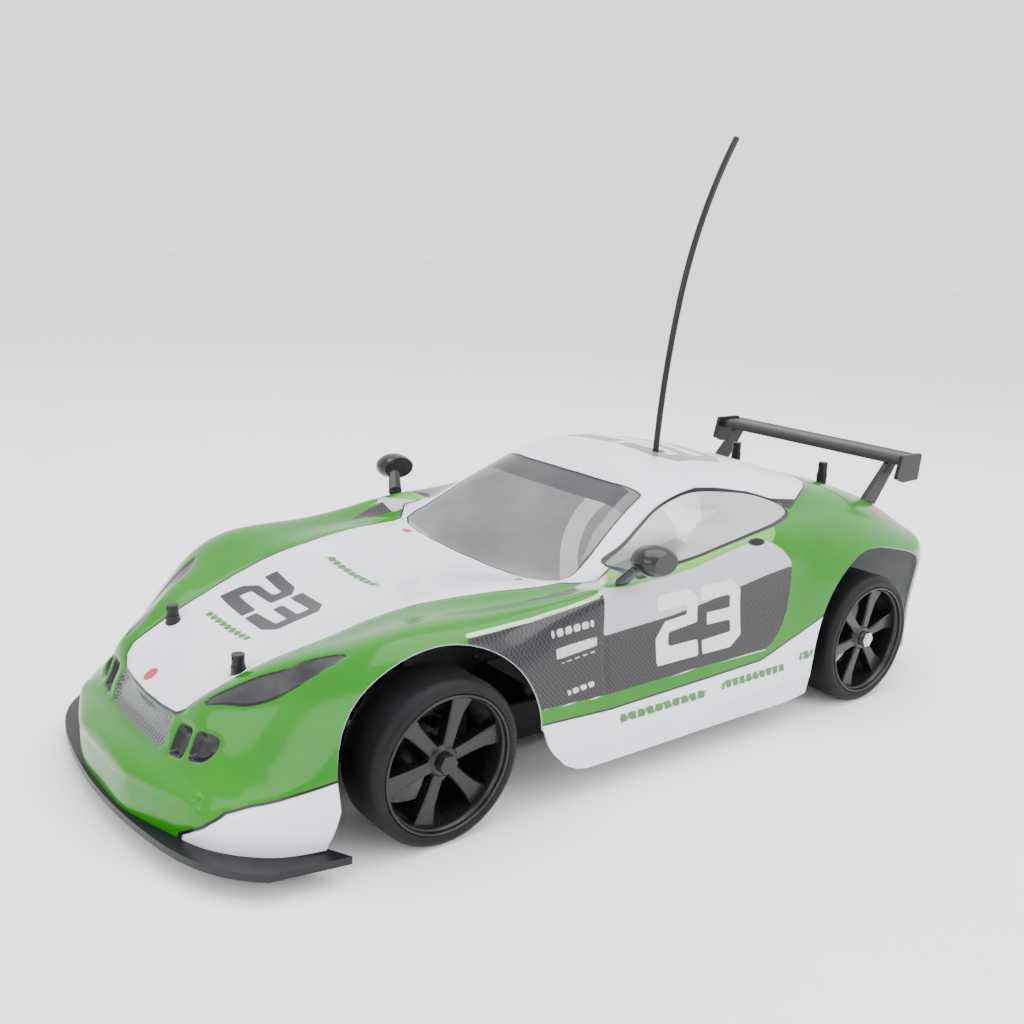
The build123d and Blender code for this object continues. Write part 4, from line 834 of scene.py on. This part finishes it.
def nut(centre_y, centre_z, sign, radius=2.9):
    made = []
    for x in (89.6, 92.2, 92.8):
        r = radius if x < 92.5 else radius * 0.82
        made += [(sign * x, centre_y + r * math.cos(math.radians(60 * k)),
                  centre_z + r * math.sin(math.radians(60 * k)))
                 for k in range(6)]
    faces = []
    for layer in range(2):
        for k in range(6):
            j = (k + 1) % 6
            face = [layer * 6 + k, layer * 6 + j, layer * 6 + 6 + j, layer * 6 + 6 + k]
            faces.append(face if sign > 0 else face[::-1])
    cap = list(range(12, 18))
    faces.append(cap if sign > 0 else cap[::-1])
    faces.append(list(range(6))[::-1] if sign > 0 else list(range(6)))
    return made, faces


for end in ("front", "rear"):
    for side_name, sign in (("left", 1), ("right", -1)):
        low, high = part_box(f"{end}_tyre_{side_name}")
        cy, cz = (low.y + high.y) / 2 / MM, (low.z + high.z) / 2 / MM
        body = BODY_OF[f"{end}_tyre_{side_name}"]
        tyre = piece(f"{end}_wheel_tyre_{side_name}", *lathe(TYRE_PROFILE, cy, cz, sign, 128), body,
                     FINISH["tyre_rubber"],
                     "tyre_rubber")
        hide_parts(f"{end}_tyre_{side_name}")
        rim_parts = [lathe(RIM_PROFILE, cy, cz, sign, 128), lathe(HUB_PROFILE, cy, cz, sign, 48),
                     spokes(cy, cz, sign)]
        rim = piece(f"{end}_wheel_rim_{side_name}", *join_lists(rim_parts), body, FINISH["rim_black"],
                    "rim_black")
        bevelled(rim, 0.25, 2, 32)
        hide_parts(f"{end}_rim_{side_name}")
        wheel_nut = piece(f"{end}_wheel_nut_{side_name}", *nut(cy, cz, sign), body, FINISH["steel"],
                          "steel", smooth=False)
        bevelled(wheel_nut, 0.2)


# ---------------------------------------------------------------- springs and other running gear
def spring(end, side_name):
    """A coil on its damper, fitted to the points of the spring part it replaces."""
    node_name = f"{end}_damper_spring_{side_name}"
    co = np.array([v.co for v in NODES[node_name].data.vertices]) / MM
    middle = co.mean(0)
    axis = np.linalg.svd(co - middle, full_matrices=False)[2][0]
    axis *= np.sign(axis[2])
    along = (co - middle) @ axis
    radius = np.percentile(np.linalg.norm(co - middle - np.outer(along, axis), axis=1), 99)
    wire = 0.62
    coil = radius - wire
    low, high = along.min() + wire, along.max() - wire
    side_a = np.cross(axis, (0, 1, 0))
    side_a /= np.linalg.norm(side_a)
    side_b = np.cross(axis, side_a)
    turns, steps, around = 7.5, 300, 10
    made, faces = [], []
    for k in range(steps + 1):
        t = k / steps
        climb = 0.5 + 0.5 * math.copysign(abs(2 * t - 1) ** 1.35, 2 * t - 1)
        a = 2 * math.pi * turns * t
        out = side_a * math.cos(a) + side_b * math.sin(a)
        centre = middle + axis * (low + (high - low) * climb) + out * coil
        for j in range(around):
            b = 2 * math.pi * j / around
            made.append(centre + wire * (out * math.cos(b) + axis * math.sin(b)))
    for k in range(steps):
        for j in range(around):
            m = (j + 1) % around
            faces.append([k * around + j, k * around + m, (k + 1) * around + m, (k + 1) * around + j])
    faces.append(list(range(around))[::-1])
    faces.append([steps * around + j for j in range(around)])
    coil_piece = piece(f"{end}_coil_spring_{side_name}", made, faces, None, FINISH["spring_steel"],
                       "spring_steel")
    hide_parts(node_name)
    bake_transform(coil_piece)


for end in ("front", "rear"):
    for side_name in ("left", "right"):
        spring(end, side_name)


def foam_block():
    """The foam bumper behind the nose, with soft edges and a slightly crushed top."""
    low, high = (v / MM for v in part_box("bumper_foam"))
    made, faces = [], []
    outline = rounded([(-62, -180.5), (-54, -189), (-36, -196), (0, -200), (36, -196), (54, -189),
                       (62, -180.5)], False, 8)
    outline = np.vstack([outline,
                         [(60.5, -178.4), (30, -178.2), (0, -178.2), (-30, -178.2), (-60.5, -178.4)]])
    levels = ((13.1, 1.4), (13.6, 0.5), (14.6, 0.05), (25.2, 0.05), (26.3, 0.6), (26.8, 1.6))
    centre = outline.mean(0)
    n = len(outline)
    for z, inset in levels:
        toward = outline - centre
        shrunk = outline - toward / np.linalg.norm(toward, axis=1)[:, None] * inset
        made += [(x, y, z) for x, y in shrunk]
    for layer in range(len(levels) - 1):
        for i in range(n):
            j = (i + 1) % n
            faces.append([layer * n + i, layer * n + j, (layer + 1) * n + j, (layer + 1) * n + i])
    faces += [list(range(n))[::-1], [(len(levels) - 1) * n + i for i in range(n)]]
    foam = piece("bumper_foam_block", made, faces, "chassis", FINISH["foam"], "foam")
    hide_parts("bumper_foam")


foam_block()


# ---------------------------------------------------------------- floor and light
def floor():
    made, nodes, links, shader = material("studio floor")
    grain = noise(nodes, links, 12, 3)
    links.new(mixed(nodes, links, remap(nodes, links, grain, 0, 1), (0.93, 0.93, 0.93), (0.96, 0.96, 0.96)),
              shader.inputs["Base Color"])
    shader.inputs["Roughness"].default_value = 0.9
    shader.inputs["Specular IOR Level"].default_value = 0.1
    size = 6000
    plane = piece("studio_floor", [(-size, -size, 0), (size, -size, 0), (size, size, 0), (-size, size, 0)],
                  [[0, 1, 2, 3]],
                  None, made, smooth=False)


floor()
world = bpy.data.worlds.new("studio")
bpy.context.scene.world = world
world.use_nodes = True
world.node_tree.nodes["Background"].inputs["Color"].default_value = (1, 1, 1, 1)
world.node_tree.nodes["Background"].inputs["Strength"].default_value = 1.7


def softbox(name, place, aim, width, height, power):
    data = bpy.data.lights.new(name, "AREA")
    data.shape, data.size, data.size_y, data.energy = "RECTANGLE", width, height, power
    lamp = bpy.data.objects.new(name, data)
    lamp.location = place
    lamp.rotation_mode = "QUATERNION"
    lamp.rotation_quaternion = (Vector(aim) - Vector(place)).to_track_quat("-Z", "Y")
    bpy.context.scene.collection.objects.link(lamp)


softbox("softbox_top", (0.1, 0.1, 1.3), (0, 0, 0), 1.2, 1.6, 22)
softbox("softbox_side", (1.3, 0.5, 0.8), (0, 0, 0.05), 0.9, 0.7, 9)
softbox("softbox_front", (0.5, -1.4, 0.8), (0, 0, 0.05), 1.0, 0.7, 7)
